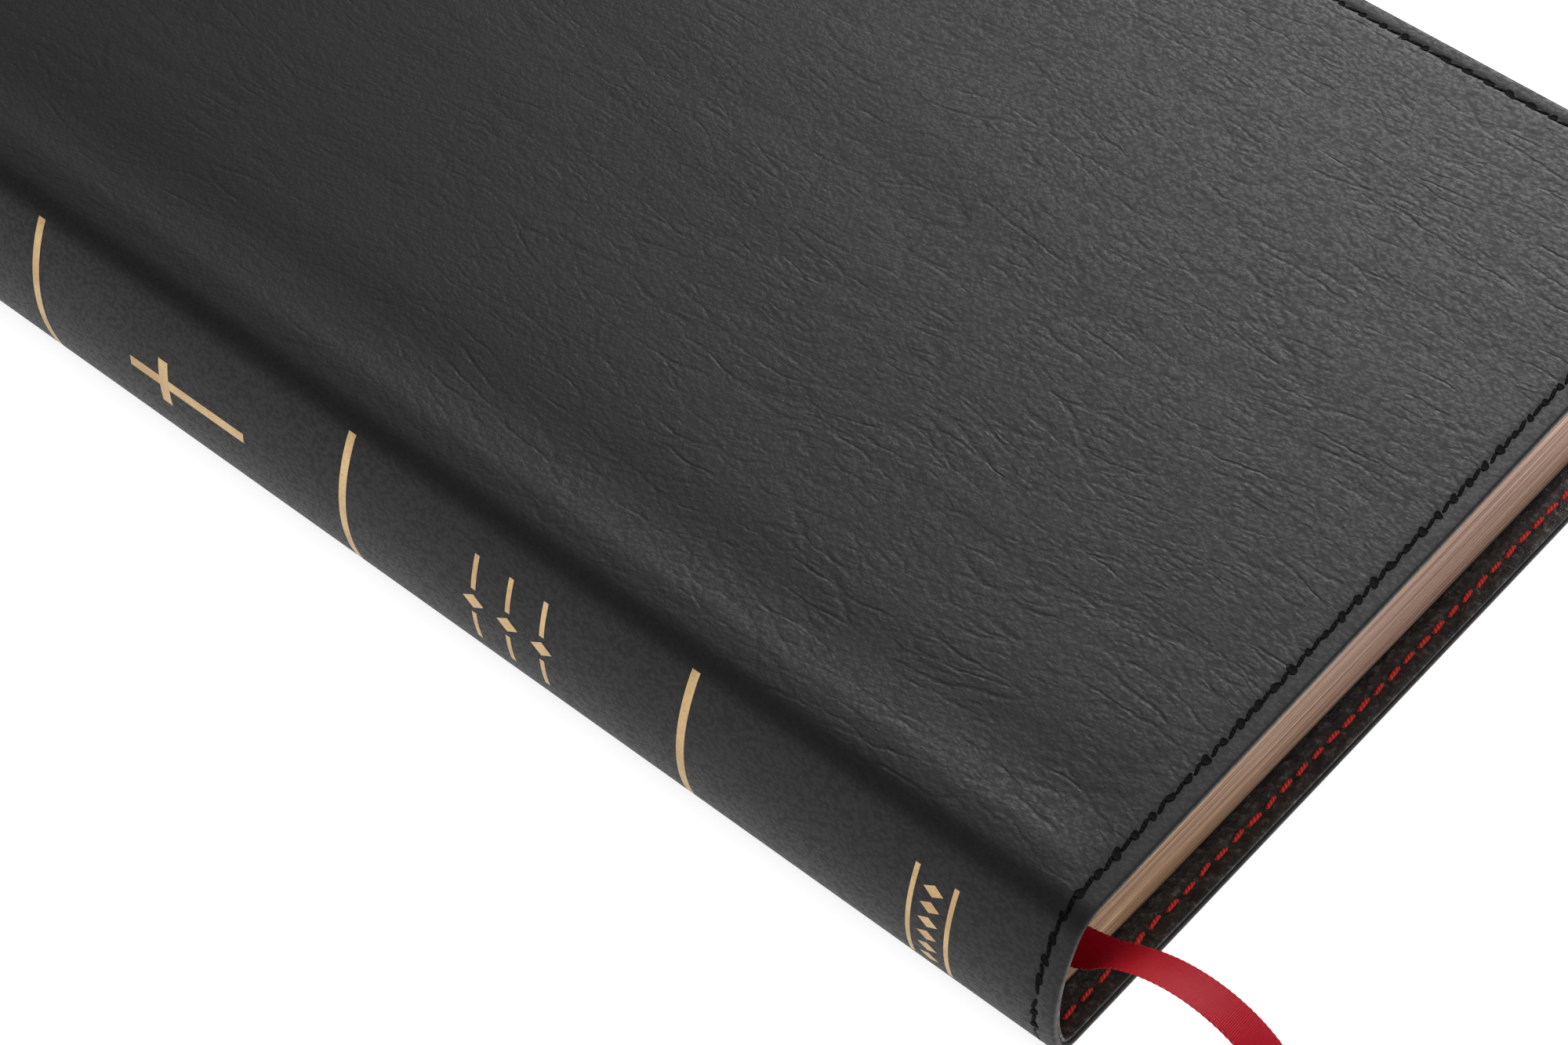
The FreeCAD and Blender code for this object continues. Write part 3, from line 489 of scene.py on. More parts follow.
# %% Draw the foil shapes
FOIL_TOP, FOIL_UNDER = 0.025 * MM, -0.05 * MM
PANEL = HALF / 2


def foil_patch(outline_at, long_steps, name, parts):
    """Closed patches; outline_at(part, t) gives the low and high ends across at a place along."""
    points, faces = [], []
    for part in parts:
        t = np.linspace(0, 1, long_steps)
        along, low, high = outline_at(part, t)
        grid_s = np.linspace(0, 1, part[4])[None, :]
        s = low[:, None] + (high - low)[:, None] * grid_s
        y = along[:, None] + 0 * grid_s
        n, m = s.shape
        offset = sum(len(p) for p in points)
        points.append(bend(s, y, FOIL_TOP, "front").reshape(-1, 3))
        points.append(bend(s, y, FOIL_UNDER, "front").reshape(-1, 3))
        top = np.arange(n * m).reshape(n, m) + offset
        under = top + n * m
        faces += grid_faces(top) + grid_faces(under[::-1])
        for edge in (np.stack([top[0], under[0]]), np.stack([top[-1], under[-1]]),
                     np.stack([top[:, 0], under[:, 0]]), np.stack([top[:, -1], under[:, -1]])):
            faces += grid_faces(edge)
    return make_mesh(name, np.concatenate(points), faces, None, 30)


def bar(part, t):
    s, y, wide, tall = part[:4]
    return y + (t - 0.5) * tall, np.full_like(t, s - wide / 2), np.full_like(t, s + wide / 2)


def diamond(part, t):
    s, y, wide, tall = part[:4]
    half = wide / 2 * (1.02 - np.abs(2 * t - 1))
    return y + (t - 0.5) * tall, s - half, s + half


def at(degrees):
    return SPINE_ARC * math.radians(degrees)


# %% Lay the rules, the cross and the diamonds
FULL_TOP, FULL_LOW = at(25), at(-23.4)
FINE_TOP, FINE_LOW = at(16), at(-22)
rule_rows = [(PANEL * k - HALF, FULL_LOW, FULL_TOP, 1.3 * MM) for k in (1, 2, 3)]
rule_rows += [(y - HALF, FINE_LOW, FINE_TOP, 0.72 * MM) for y in (16.5 * MM, 22.5 * MM)]
upper_bars = [(high / 2, y, high, wide, 16) for y, low, high, wide in rule_rows]
lower_bars = [(low / 2, y, -low, wide, 16) for y, low, high, wide in rule_rows]
gold_rules_upper = foil_patch(bar, 3, "gold_rules_upper", upper_bars)
gold_rules_lower = foil_patch(bar, 3, "gold_rules_lower", lower_bars)

CROSS_Y, MOTIF_Y, TAIL_Y = 2.5 * PANEL - HALF, 1.5 * PANEL - HALF, 19.5 * MM - HALF
cross_bars = [(0.0, CROSS_Y, 1.8 * MM, 22 * MM, 4)]
cross_bars += [(sign * 2.55 * MM, CROSS_Y + 4.4 * MM, 3.3 * MM, 1.8 * MM, 5) for sign in (-1, 1)]
motif_rows = [MOTIF_Y + step * 6 * MM for step in (-1, 0, 1)]
motif_bars = [(sign * at(10.25), y, at(11.5), 0.8 * MM, 9) for y in motif_rows for sign in (-1, 1)]
motif_diamonds = [(0.0, y, 2.6 * MM, 3.6 * MM, 5) for y in motif_rows]
tail_diamonds = [(at(-3 + (i - 2.5) * 5.6), TAIL_Y, 2.0 * MM, 3.0 * MM, 5) for i in range(6)]
gold_bars = foil_patch(bar, 5, "gold_cross_and_bars", cross_bars + motif_bars)
gold_diamonds = foil_patch(diamond, 17, "gold_diamonds", motif_diamonds + tail_diamonds)
gold_pieces = (gold_rules_upper, gold_rules_lower, gold_bars, gold_diamonds)
print("foil faces:", [len(piece.data.polygons) for piece in gold_pieces])

# %% [markdown]
# ## The leaves
#
# Several hundred thin leaves fill the cover, gathered here in nine groups.  The front four turn, and the rear
# five stay on the back cover.  Nobody can see one leaf, but everybody sees the fine ragged lines at their
# edges, so each group's edge is cut in rows an eighth of a millimetre high, each set back by a slightly
# different amount.

# %% Cut the edges of the leaves
SQUARE = 5.4 * MM
LEAF_CORNER = 5 * MM
BLOCK_ARC = 26.9 * MM
BLOCK_LOW, BLOCK_HIGH = 2.45 * MM, 26.55 * MM
SPLIT_LOW, SPLIT_HIGH = 15.85 * MM, 16.15 * MM
LEAF_ROW = 0.125 * MM
LEAF_GAP = 0.01 * MM
GLUE_GAP = 0.2 * MM
leaf_end = HALF - SQUARE
leaf_fore = FORE - 5 * MM


def back_of_block(height):
    return arc_x - np.sqrt(BLOCK_ARC ** 2 - (height - THICK / 2) ** 2)


def fan(height, x):
    """Height at x of the leaf that leaves the back of the block at this height."""
    slope = SPLAY * (height - BLOCK_LOW) / (BLOCK_HIGH - BLOCK_LOW)
    return height + (x - SPINE_X) * np.tan(slope)


def leaf_outline():
    """Points round the tail, fore edge and head, with the way out of the block at each."""
    xs = steps(0, 1, 1 / 60)
    line = [(x, -1, 0, -1) for x in xs]
    for corner in (-1, 1):
        turns = np.linspace(0, math.pi / 2, 9)
        if corner > 0:
            line += [(3, y, 1, 0) for y in steps(-1, 1, 0.03)[1:-1]]
        line += [(2, corner, math.sin(a), corner * math.cos(a)) for a in turns[::-corner]]
    return line + [(x, 1, 0, 1) for x in xs[::-1]]


def leaves(name, low, high):
    rows = steps(low, high, LEAF_ROW)
    outline = leaf_outline()
    set_back = random.uniform(0, 1, len(rows)) ** 2 * 0.10 * MM
    phase = random.uniform(0, TURN, len(rows))
    points, level, place = [], [], []
    for row, height in enumerate(rows):
        start = back_of_block(height) + GLUE_GAP
        for x, y, out_x, out_y in outline:
            depth = set_back[row]
            if x <= 1:
                px, py = start + x * (leaf_fore - LEAF_CORNER - start), y * leaf_end
                depth = depth + 0.35 * MM * (1 - x) ** 14 * (1 + math.sin(phase[row]))
            elif x == 2:
                px = leaf_fore - LEAF_CORNER + LEAF_CORNER * out_x
                py = y * (leaf_end - LEAF_CORNER) + LEAF_CORNER * out_y
            else:
                px, py = leaf_fore, y * (leaf_end - LEAF_CORNER)
            wave = 0.02 * MM * math.sin(70 * px + 50 * py + phase[row])
            px, py = px - out_x * (depth + wave), py - out_y * (depth + wave)
            points.append((px, py, float(fan(height, px))))
            level.append(height * 1000)
            place.append((px, py, height))
    count = len(outline)
    index = np.arange(len(rows) * count).reshape(len(rows), count)
    faces = grid_faces(np.concatenate([index, index[:, :1]], axis=1))
    faces += [index[0].tolist(), index[-1].tolist()]
    return make_mesh(name, points, faces, {"level": level, "leaf_place": place}, 60)


leaf_groups = {}
HALVES = (("rear_leaves", 5, BLOCK_LOW, SPLIT_LOW), ("front_leaves", 4, SPLIT_HIGH, BLOCK_HIGH))
for prefix, count, low, high in HALVES:
    for i in range(count):
        under = low + (high - low) * i / count
        over = low + (high - low) * (i + 1) / count
        node = "%s_%d" % (prefix, count - i)
        leaf_groups[node] = leaves(node + "_cut", under + LEAF_GAP, over - LEAF_GAP)
print({name: len(piece.data.vertices) for name, piece in leaf_groups.items()})

# %% [markdown]
# ## The ribbon
#
# The marker is a satin ribbon with a looped selvedge.  Its line is a smooth curve through the air and on to
# the table; the ribbon's mesh follows points read from that curve.  It rolls a little one way where it
# leaves the leaves, then a little the other way, and lies flat further out.

# %% Read the ribbon's line from a smooth curve
TAIL_ROUTE = [
    (0.0, 16.1), (4.5, 16.9), (9.8, 21.4), (16.1, 23.9), (22.7, 24.0), (28.9, 21.7),
    (34.2, 16.8), (38.8, 10.2), (44.4, 4.9), (51.0, 1.3), (58.4, 0.4), (67.0, 1.0), (75.4, 0.3),
]
ribbon_low, ribbon_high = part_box("ribbon_tail")
RIBBON_X = (ribbon_low.x + ribbon_high.x) / 2
RIBBON_WIDE = ribbon_high.x - ribbon_low.x


def route_points(places, name):
    """A fine row of points along the smooth curve that these places steer."""
    curve = bpy.data.curves.new(name, "CURVE")
    curve.dimensions = "3D"
    spline = curve.splines.new("NURBS")
    spline.points.add(len(places) - 1)
    for point, place in zip(spline.points, places):
        point.co = (*place, 1)
    spline.order_u = 3
    spline.use_endpoint_u = True
    spline.resolution_u = 24
    holder = bpy.data.objects.new(name, curve)
    mesh = bpy.data.meshes.new_from_object(holder)
    found = np.array([v.co for v in mesh.vertices], float)
    bpy.data.objects.remove(holder)
    bpy.data.meshes.remove(mesh)
    return found


tail_line = route_points([(RIBBON_X, -leaf_end - y * MM, z * MM) for y, z in TAIL_ROUTE], "ribbon_line")

# %% Weave the ribbon round its line
PICOT = 0.85 * MM


def woven(name, middle, lift, place):
    """A closed strip: a table of points, half its thickness at each, and places on the flat strip."""
    n, m = middle.shape[:2]
    points = np.concatenate([(middle + lift).reshape(-1, 3), (middle - lift).reshape(-1, 3)])
    top = np.arange(n * m).reshape(n, m)
    low = top + n * m
    faces = grid_faces(top) + grid_faces(low[::-1])
    for strip in (np.stack([top[0], low[0]]), np.stack([top[-1], low[-1]]),
                  np.stack([top[:, 0], low[:, 0]]), np.stack([top[:, -1], low[:, -1]])):
        faces += grid_faces(strip)
    return make_mesh(name, points, faces, {"weave": np.concatenate([place, place])}, 50)


def ribbon(name, line, tilt_at, cup_at, step=0.22 * MM, thick=0.22 * MM):
    """A ribbon along a line; tilt_at and cup_at give its roll and hollow at each distance along."""
    far = np.concatenate([[0], np.cumsum(np.linalg.norm(np.diff(line, axis=0), axis=1))])
    at_run = steps(0, far[-1], step)
    centre = np.stack([np.interp(at_run, far, line[:, k]) for k in range(3)], axis=1)
    ahead = np.gradient(centre, axis=0)
    ahead /= np.linalg.norm(ahead, axis=1)[:, None]
    tilt = tilt_at(at_run)
    side = np.stack([np.cos(tilt), np.zeros_like(tilt), -np.sin(tilt)], axis=1)
    side -= ahead * np.sum(side * ahead, axis=1)[:, None]
    side /= np.linalg.norm(side, axis=1)[:, None]
    up = np.cross(ahead, side)
    up *= np.sign(up[:, 2:3] + 1e-9)
    u = np.linspace(-1, 1, 19)
    loops = 1 + 0.014 * np.cos(2 * math.pi * at_run / PICOT)[:, None] * (np.abs(u) > 0.99)
    hollow = cup_at(at_run)[:, None] * (u ** 2 - 0.35)
    edge = 1 - 0.65 * np.abs(u) ** 10
    half = RIBBON_WIDE / 2 * 0.975
    sideways = side[:, None, :] * (half * u * loops)[..., None]
    middle = centre[:, None, :] + sideways + up[:, None, :] * hollow[..., None]
    lift = up[:, None, :] * (thick / 2 * edge)[None, :, None]
    n, m = len(at_run), len(u)
    place = np.stack([np.tile(u, n) * RIBBON_WIDE / 2, np.repeat(at_run, m), np.zeros(n * m)], axis=-1)
    return woven(name, middle, lift, place)


ribbon_tail = ribbon("ribbon_tail_satin", tail_line,
                     lambda d: 0.24 * smooth(d / (12 * MM)) * (1 - smooth((d - 12 * MM) / (48 * MM)))
                     - 0.28 * smooth(d / (2 * MM)) * (1 - smooth((d - 2 * MM) / (9 * MM))),
                     lambda d: 0.25 * MM * np.sin(d / (9 * MM)) * smooth(d / (6 * MM))
                     * (1 - smooth((d - 60 * MM) / (20 * MM))))
inside_low, inside_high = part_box("ribbon_between_leaves")
print("ribbon tail", len(ribbon_tail.data.vertices), "points; inside", inside_low[:], inside_high[:])

# %% Weave the hidden stretches of the ribbon
inside_x, inside_z = (inside_low.x + inside_high.x) / 2, (inside_low.z + inside_high.z) / 2
inside_y = np.linspace(-leaf_end + 0.2 * MM, leaf_end, 60)
inside_line = np.stack([np.full_like(inside_y, inside_x), inside_y, np.full_like(inside_y, inside_z)], axis=1)
FLAT_TILT = math.atan2(inside_high.z - inside_low.z - 0.2 * MM, RIBBON_WIDE)
ribbon_inside = ribbon("ribbon_inside_satin", inside_line, lambda d: np.full_like(d, -FLAT_TILT),
                       lambda d: 0 * d, 0.8 * MM, 0.18 * MM)
glued_low, glued_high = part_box("ribbon_anchor")
glued_x, glued_z = (glued_low.x + glued_high.x) / 2, (glued_low.z + glued_high.z) / 2
glued_line = np.array([(glued_x, y, glued_z) for y in steps(glued_low.y, glued_high.y, 1 * MM)])
glued_angle = math.asin((glued_z - THICK / 2) / (arc_x - glued_x))
ribbon_glued = ribbon("ribbon_glued_satin", glued_line, lambda d: np.full_like(d, math.pi / 2 + glued_angle),
                      lambda d: np.full_like(d, 0.16 * MM), 0.8 * MM, 0.16 * MM)
fold_low, fold_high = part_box("ribbon_head_fold")
fold_x, fold_y = (g[..., None] for g in np.meshgrid(steps(fold_low.x, fold_high.x, 0.4 * MM),
                                                    steps(fold_low.y, fold_high.y, 0.2 * MM), indexing="ij"))
past = np.clip((fold_y - fold_low.y) / (fold_high.y - fold_low.y), 0, 1)
fold_z = (fold_low.z + fold_high.z) / 2 + 0 * fold_x
fold_half = 0.095 * MM * np.sqrt(np.clip(1 - 0.8 * past ** 6, 0, 1))
fold_lift = np.concatenate([0 * past, 0 * past, fold_half], axis=-1)
fold_place = np.concatenate([fold_y - fold_low.y, fold_x, 0 * fold_x], axis=-1).reshape(-1, 3)
fold_middle = np.concatenate([fold_x, fold_y, fold_z], axis=-1)
ribbon_fold = woven("ribbon_fold_satin", fold_middle, fold_lift, fold_place)
print("ribbon between the leaves lies at", round(inside_z, 5), "m")

# %% [markdown]
# ## Shader tools
#
# The finishes are built from nodes.  `add` puts a node in a tree and plugs values or other nodes' outputs
# into its sockets by name, which keeps each material a few lines long.

# %% Node helpers
def add(tree, kind, inputs=None, **settings):
    node = tree.nodes.new(kind)
    for key, value in settings.items():
        setattr(node, key, value)
    for key, value in (inputs or {}).items():
        socket = node.inputs[key]
        if isinstance(value, bpy.types.NodeSocket):
            tree.links.new(value, socket)
        else:
            socket.default_value = value
    return node


def maths(tree, operation, a, b=0.0, c=None):
    inputs = {0: a, 1: b}
    if c is not None:
        inputs[2] = c
    return add(tree, "ShaderNodeMath", inputs, operation=operation).outputs[0]


def ramp(tree, value, low, high, to_low=0.0, to_high=1.0, kind="SMOOTHSTEP"):
    inputs = {"Value": value, "From Min": low, "From Max": high, "To Min": to_low, "To Max": to_high}
    return add(tree, "ShaderNodeMapRange", inputs, interpolation_type=kind).outputs["Result"]


def sine_rows(tree, value, period, low=-1, high=1):
    wave = maths(tree, "SINE", maths(tree, "MULTIPLY", value, TURN / period))
    return ramp(tree, wave, low, high)


def scaled(tree, vector, factors):
    return add(tree, "ShaderNodeVectorMath", {0: vector, 1: factors}, operation="MULTIPLY").outputs[0]


def noise(tree, vector, scale, detail=2.0, roughness=0.5):
    return add(tree, "ShaderNodeTexNoise", {"Vector": vector, "Scale": scale, "Detail": detail,
                                            "Roughness": roughness}).outputs["Fac"]


def blend_colour(tree, mask, first, second):
    return add(tree, "ShaderNodeMix", {0: mask, 6: first, 7: second}, data_type="RGBA").outputs[2]


def attribute(tree, name, output="Vector"):
    return add(tree, "ShaderNodeAttribute", attribute_name=name).outputs[output]


def new_material(name, shader_values):
    material = bpy.data.materials.new(name)
    material.use_nodes = True
    tree = material.node_tree
    shader = tree.nodes["Principled BSDF"]
    for key, value in shader_values.items():
        shader.inputs[key].default_value = value
    return material, tree, shader


def bump(tree, shader, height, distance):
    node = add(tree, "ShaderNodeBump", {"Height": height, "Distance": distance, "Strength": 1.0})
    tree.links.new(node.outputs["Normal"], shader.inputs["Normal"])


def new_group(name, inputs, outputs):
    group = bpy.data.node_groups.new(name, "ShaderNodeTree")
    for key, kind, value in inputs:
        socket = group.interface.new_socket(key, in_out="INPUT", socket_type=kind)
        if value is not None:
            socket.default_value = value
    for key, kind in outputs:
        group.interface.new_socket(key, in_out="OUTPUT", socket_type=kind)
    return group, add(group, "NodeGroupInput"), add(group, "NodeGroupOutput")


print("helpers ready")

# %% [markdown]
# ## Leather grain
#
# Printed calf grain has three sizes: long drawn creases that run with the book and branch now and then,
# small flat scales between them, and a fine pebble all over.  Creases and scales are the borders of
# stretched, wobbled cells; the pebble is noise over small smooth cells.  The group works in millimetres on
# the flat sheet and gives a height and three masks.

# %% Node group: leather grain
grain, grain_in, grain_out = new_group(
    "Leather grain",
    [("Place", "NodeSocketVector", None), ("Crease width", "NodeSocketFloat", 0.10),
     ("Crease depth", "NodeSocketFloat", 0.12), ("Scale depth", "NodeSocketFloat", 0.035),
     ("Pebble depth", "NodeSocketFloat", 0.03)],
    [("Height", "NodeSocketFloat"), ("Crease", "NodeSocketFloat"), ("Scales", "NodeSocketFloat"),
     ("Pebble", "NodeSocketFloat")])


def warped(tree, place, scale, amount, detail=2.0):
    texture = add(tree, "ShaderNodeTexNoise", {"Vector": place, "Scale": scale, "Detail": detail})
    wobble = {0: texture.outputs["Color"], 1: (0.5, 0.5, 0.5)}
    centred = add(tree, "ShaderNodeVectorMath", wobble, operation="SUBTRACT").outputs[0]
    moved = scaled(tree, centred, (amount, amount, 0))
    return add(tree, "ShaderNodeVectorMath", {0: place, 1: moved}, operation="ADD").outputs[0]


def cell_border(tree, place, factors):
    cells = scaled(tree, place, factors)
    return add(tree, "ShaderNodeTexVoronoi", {"Vector": cells, "Scale": 1.0, "Randomness": 1.0},
               feature="DISTANCE_TO_EDGE").outputs["Distance"]


place = grain_in.outputs["Place"]
drifting = warped(grain, place, 0.016, 20.0, 1.0)
wobbling = warped(grain, drifting, 0.24, 1.8, 2.0)
long_border = cell_border(grain, wobbling, (1 / 3.8, 1 / 14.0, 1))
crease_line = ramp(grain, long_border, grain_in.outputs["Crease width"], 0.0)
where = noise(grain, place, 0.10, 3.0)
crease = maths(grain, "MULTIPLY", crease_line, ramp(grain, where, 0.38, 0.66))
small_wobble = warped(grain, drifting, 0.6, 1.0, 2.0)
small_border = cell_border(grain, small_wobble, (1 / 1.8, 1 / 3.8, 1))
scales = ramp(grain, small_border, 0.26, 0.0)
where_scales = ramp(grain, noise(grain, place, 0.13, 2.0), 0.34, 0.62, 0.25, 1.0)
scales = maths(grain, "MULTIPLY", scales, where_scales)
pebble_place = warped(grain, scaled(grain, place, (1.0, 0.8, 1.0)), 1.1, 0.5, 1.0)
pebble_cells = add(grain, "ShaderNodeTexVoronoi", {"Vector": pebble_place, "Scale": 1.9, "Smoothness": 0.6},
                   feature="SMOOTH_F1").outputs["Distance"]
pebble = maths(grain, "MULTIPLY_ADD", noise(grain, place, 3.6, 2.0, 0.6), 0.45,
               ramp(grain, pebble_cells, 0.0, 0.75, 0.62, 0.12, "LINEAR"))
height = maths(grain, "MULTIPLY", crease, grain_in.outputs["Crease depth"])
height = maths(grain, "MULTIPLY_ADD", scales, grain_in.outputs["Scale depth"], height)
height = maths(grain, "SUBTRACT", maths(grain, "MULTIPLY", pebble, grain_in.outputs["Pebble depth"]), height)
for key, value in (("Height", height), ("Crease", crease), ("Scales", scales), ("Pebble", pebble)):
    grain.links.new(value, grain_out.inputs[key])
print("grain group:", len(grain.nodes), "nodes")

# %% [markdown]
# ## The cover's finish
#
# Black bonded leather is a dark warm grey with a soft, broad shine.  Painted shade darkens the creases and
# the borders of the scales; the raised pebble tops are coloured a little lighter.  The rolled rim outside the
# stitches is smoother, and its raw edge is grey.

# %% Material: cover leather
leather, tree, shader = new_material("Black cover leather", {"Roughness": 0.55, "Specular IOR Level": 0.22})
flat_mm = scaled(tree, attribute(tree, "flat"), (1000, 1000, 1000))
inset_mm = maths(tree, "MULTIPLY", attribute(tree, "inset", "Fac"), 1000)
outer_face = attribute(tree, "outer", "Fac")
flat_parts = add(tree, "ShaderNodeSeparateXYZ", {0: flat_mm})
on_cover = ramp(tree, maths(tree, "ABSOLUTE", flat_parts.outputs[0]), 11, 19)
inside_rim = ramp(tree, inset_mm, 2.6, 4.2)
creased = maths(tree, "MULTIPLY", maths(tree, "MULTIPLY", on_cover, inside_rim),
                ramp(tree, flat_parts.outputs[1], 40, -95, 0.35, 1.0))
leather_grain = add(tree, "ShaderNodeGroup", {
    "Place": flat_mm,
    "Crease depth": ramp(tree, creased, 0, 1, 0.010, 0.048, "LINEAR"),
    "Scale depth": ramp(tree, creased, 0, 1, 0.008, 0.034, "LINEAR"),
    "Pebble depth": ramp(tree, maths(tree, "MULTIPLY", on_cover, inside_rim), 0, 1, 0.030, 0.048),
}, node_tree=grain)
# The raised pebble tops are coloured a little lighter than the rest of the grain.
pebble_tops = ramp(tree, leather_grain.outputs["Pebble"], 0.38, 0.66)
cloud = noise(tree, flat_mm, 0.03, 2.0)
body = blend_colour(tree, pebble_tops, (0.0094, 0.0086, 0.0092, 1), (0.0142, 0.0129, 0.0137, 1))
body = blend_colour(tree, ramp(tree, cloud, 0.3, 0.7, 0, 0.35), body, (0.0150, 0.0132, 0.0142, 1))
# Painted shade: the creases and, at half strength, the scale borders are darkened towards near black on the
# cover.
crease_and_scale_shade = maths(tree, "MULTIPLY", maths(tree, "MAXIMUM", leather_grain.outputs["Crease"],
                                     maths(tree, "MULTIPLY", leather_grain.outputs["Scales"], 0.5)), on_cover)
body = blend_colour(tree, maths(tree, "MULTIPLY", crease_and_scale_shade, 0.38), body, (0.004, 0.0037, 0.004, 1))
raw = maths(tree, "MULTIPLY", ramp(tree, inset_mm, 0.12, 0.02), ramp(tree, outer_face, 0.9, 0.5))
body = blend_colour(tree, maths(tree, "MULTIPLY", raw, 0.75), body, (0.060, 0.056, 0.052, 1))
tree.links.new(body, shader.inputs["Base Color"])
tree.links.new(ramp(tree, leather_grain.outputs["Pebble"], 0.3, 0.7, 0.62, 0.48), shader.inputs["Roughness"])
bump(tree, shader, leather_grain.outputs["Height"], 1.0 * MM)

# %% Material: lining
lining, tree, shader = new_material("Dark lining leather", {"Roughness": 0.42, "Specular IOR Level": 0.45})
flat_mm = scaled(tree, attribute(tree, "flat"), (1000, 1000, 1000))
blotch = noise(tree, flat_mm, 0.42, 3.0, 0.6)
crumple = noise(tree, flat_mm, 0.95, 4.0, 0.65)
body = blend_colour(tree, ramp(tree, blotch, 0.35, 0.68), (0.0045, 0.0038, 0.0032, 1),
                    (0.020, 0.017, 0.015, 1))
fleck = maths(tree, "MULTIPLY", ramp(tree, crumple, 0.50, 0.64), ramp(tree, blotch, 0.36, 0.56))
body = blend_colour(tree, maths(tree, "MULTIPLY", fleck, 0.5), body, (0.13, 0.12, 0.11, 1))
tree.links.new(body, shader.inputs["Base Color"])
tree.links.new(ramp(tree, crumple, 0.4, 0.7, 0.55, 0.28), shader.inputs["Roughness"])
crumpled = maths(tree, "MULTIPLY", crumple, 0.22)
bump(tree, shader, maths(tree, "ADD", maths(tree, "MULTIPLY", blotch, 0.5), crumpled), 1.0 * MM)
print("leather and lining ready")

# %% [markdown]
# ## Thread, foil and holes
#
# Sewing thread is two plies twisted together; a slanting wave on its skin shows them.  Foil is metal with a
# slightly broken surface where the leather's pebble presses through.

# %% Materials: thread, holes, foil
def thread_material(name, dark_colour, light_colour, roughness, shine):
    material, tree, shader = new_material(name, {"Roughness": roughness, "Specular IOR Level": shine})
    twist = add(tree, "ShaderNodeSeparateXYZ", {0: attribute(tree, "twist")})
    lengthwise = maths(tree, "MULTIPLY", twist.outputs[0], 9000)
    wave = maths(tree, "ADD", lengthwise, maths(tree, "MULTIPLY", twist.outputs[1], 2))
    ply = ramp(tree, maths(tree, "SINE", wave), -1, 1)
    fibre = noise(tree, scaled(tree, attribute(tree, "twist"), (4000, 3, 40)), 3.0, 2.0)
    body = blend_colour(tree, ply, dark_colour, light_colour)
    body = blend_colour(tree, ramp(tree, fibre, 0.35, 0.7, 0, 0.5), body, dark_colour)
    tree.links.new(body, shader.inputs["Base Color"])
    bump(tree, shader, maths(tree, "ADD", ply, fibre), 0.06 * MM)
    return material


black_thread = thread_material("Black thread", (0.0012, 0.0012, 0.0012, 1), (0.0048, 0.0045, 0.0048, 1),
                               0.75, 0.06)
red_thread = thread_material("Red thread", (0.46, 0.014, 0.014, 1), (0.98, 0.085, 0.075, 1), 0.5, 0.3)

# Painted shade: the needle holes get a near-black finish that stands for the shade inside them.
needle_hole_painted_shade, tree, shader = new_material("Needle hole", {"Roughness": 0.9, "Specular IOR Level": 0.1})
speck = noise(tree, add(tree, "ShaderNodeTexCoord").outputs["Object"], 4000, 1.0)
body = blend_colour(tree, speck, (0.0015, 0.0015, 0.0015, 1), (0.004, 0.004, 0.004, 1))
tree.links.new(body, shader.inputs["Base Color"])

foil, tree, shader = new_material("Gold foil", {
    "Metallic": 0.85, "Roughness": 0.42, "Specular IOR Level": 0.5})
spot = add(tree, "ShaderNodeTexCoord").outputs["Object"]
press = noise(tree, spot, 2300, 3.0, 0.6)
tone = noise(tree, spot, 160, 2.0)
body = blend_colour(tree, ramp(tree, tone, 0.3, 0.7), (0.47, 0.31, 0.150, 1), (0.58, 0.41, 0.215, 1))
body = blend_colour(tree, ramp(tree, press, 0.62, 0.72, 0, 0.5), body, (0.30, 0.19, 0.09, 1))
tree.links.new(body, shader.inputs["Base Color"])
tree.links.new(ramp(tree, press, 0.3, 0.7, 0.34, 0.55), shader.inputs["Roughness"])
bump(tree, shader, press, 0.03 * MM)
print("thread and foil ready")

# %% [markdown]
# ## Paper
#
# Bible paper is thin and cream.  Along its edge the gilding is gold near the spine and paler and pinkish
# further out, streaked leaf by leaf: the streaks follow the height of a leaf in the block, which each group
# keeps as a value at its points.

# %% Materials: gilt edges, pages, endpapers
gilt, tree, shader = new_material("Gilt leaf edges", {
    "Roughness": 0.5, "Metallic": 0.15, "Specular IOR Level": 0.4})
level = attribute(tree, "level", "Fac")
leaf_place = attribute(tree, "leaf_place")


def streaks(along, upright):
    """Where noise should be read so that it is drawn out along the leaves."""
    rise = add(tree, "ShaderNodeCombineXYZ", {"Z": maths(tree, "MULTIPLY", level, upright)}).outputs[0]
    spread = scaled(tree, leaf_place, (along, along, 0))
    return add(tree, "ShaderNodeVectorMath", {0: spread, 1: rise}, operation="ADD").outputs[0]


fine = noise(tree, streaks(14, 6.0), 1.0, 3.0, 0.75)
broad = noise(tree, streaks(18, 0.8), 1.0, 2.0, 0.5)
# The gilding turns paler and pinkish away from the spine, towards the fore edge.
toward_fore_edge = ramp(tree, add(tree, "ShaderNodeSeparateXYZ", {0: leaf_place}).outputs[0], -62 * MM, 5 * MM)
gold = blend_colour(tree, toward_fore_edge, (0.46, 0.29, 0.145, 1), (0.49, 0.33, 0.245, 1))
body = blend_colour(tree, ramp(tree, broad, 0.42, 0.68), gold, (0.42, 0.22, 0.155, 1))
body = blend_colour(tree, ramp(tree, fine, 0.36, 0.64, 0.85, 0), body, (0.13, 0.055, 0.028, 1))
body = blend_colour(tree, ramp(tree, fine, 0.60, 0.74, 0, 0.8), body, (0.72, 0.52, 0.30, 1))
tree.links.new(body, shader.inputs["Base Color"])
tree.links.new(ramp(tree, fine, 0.3, 0.7, 0.6, 0.38), shader.inputs["Roughness"])
bump(tree, shader, fine, 0.10 * MM)


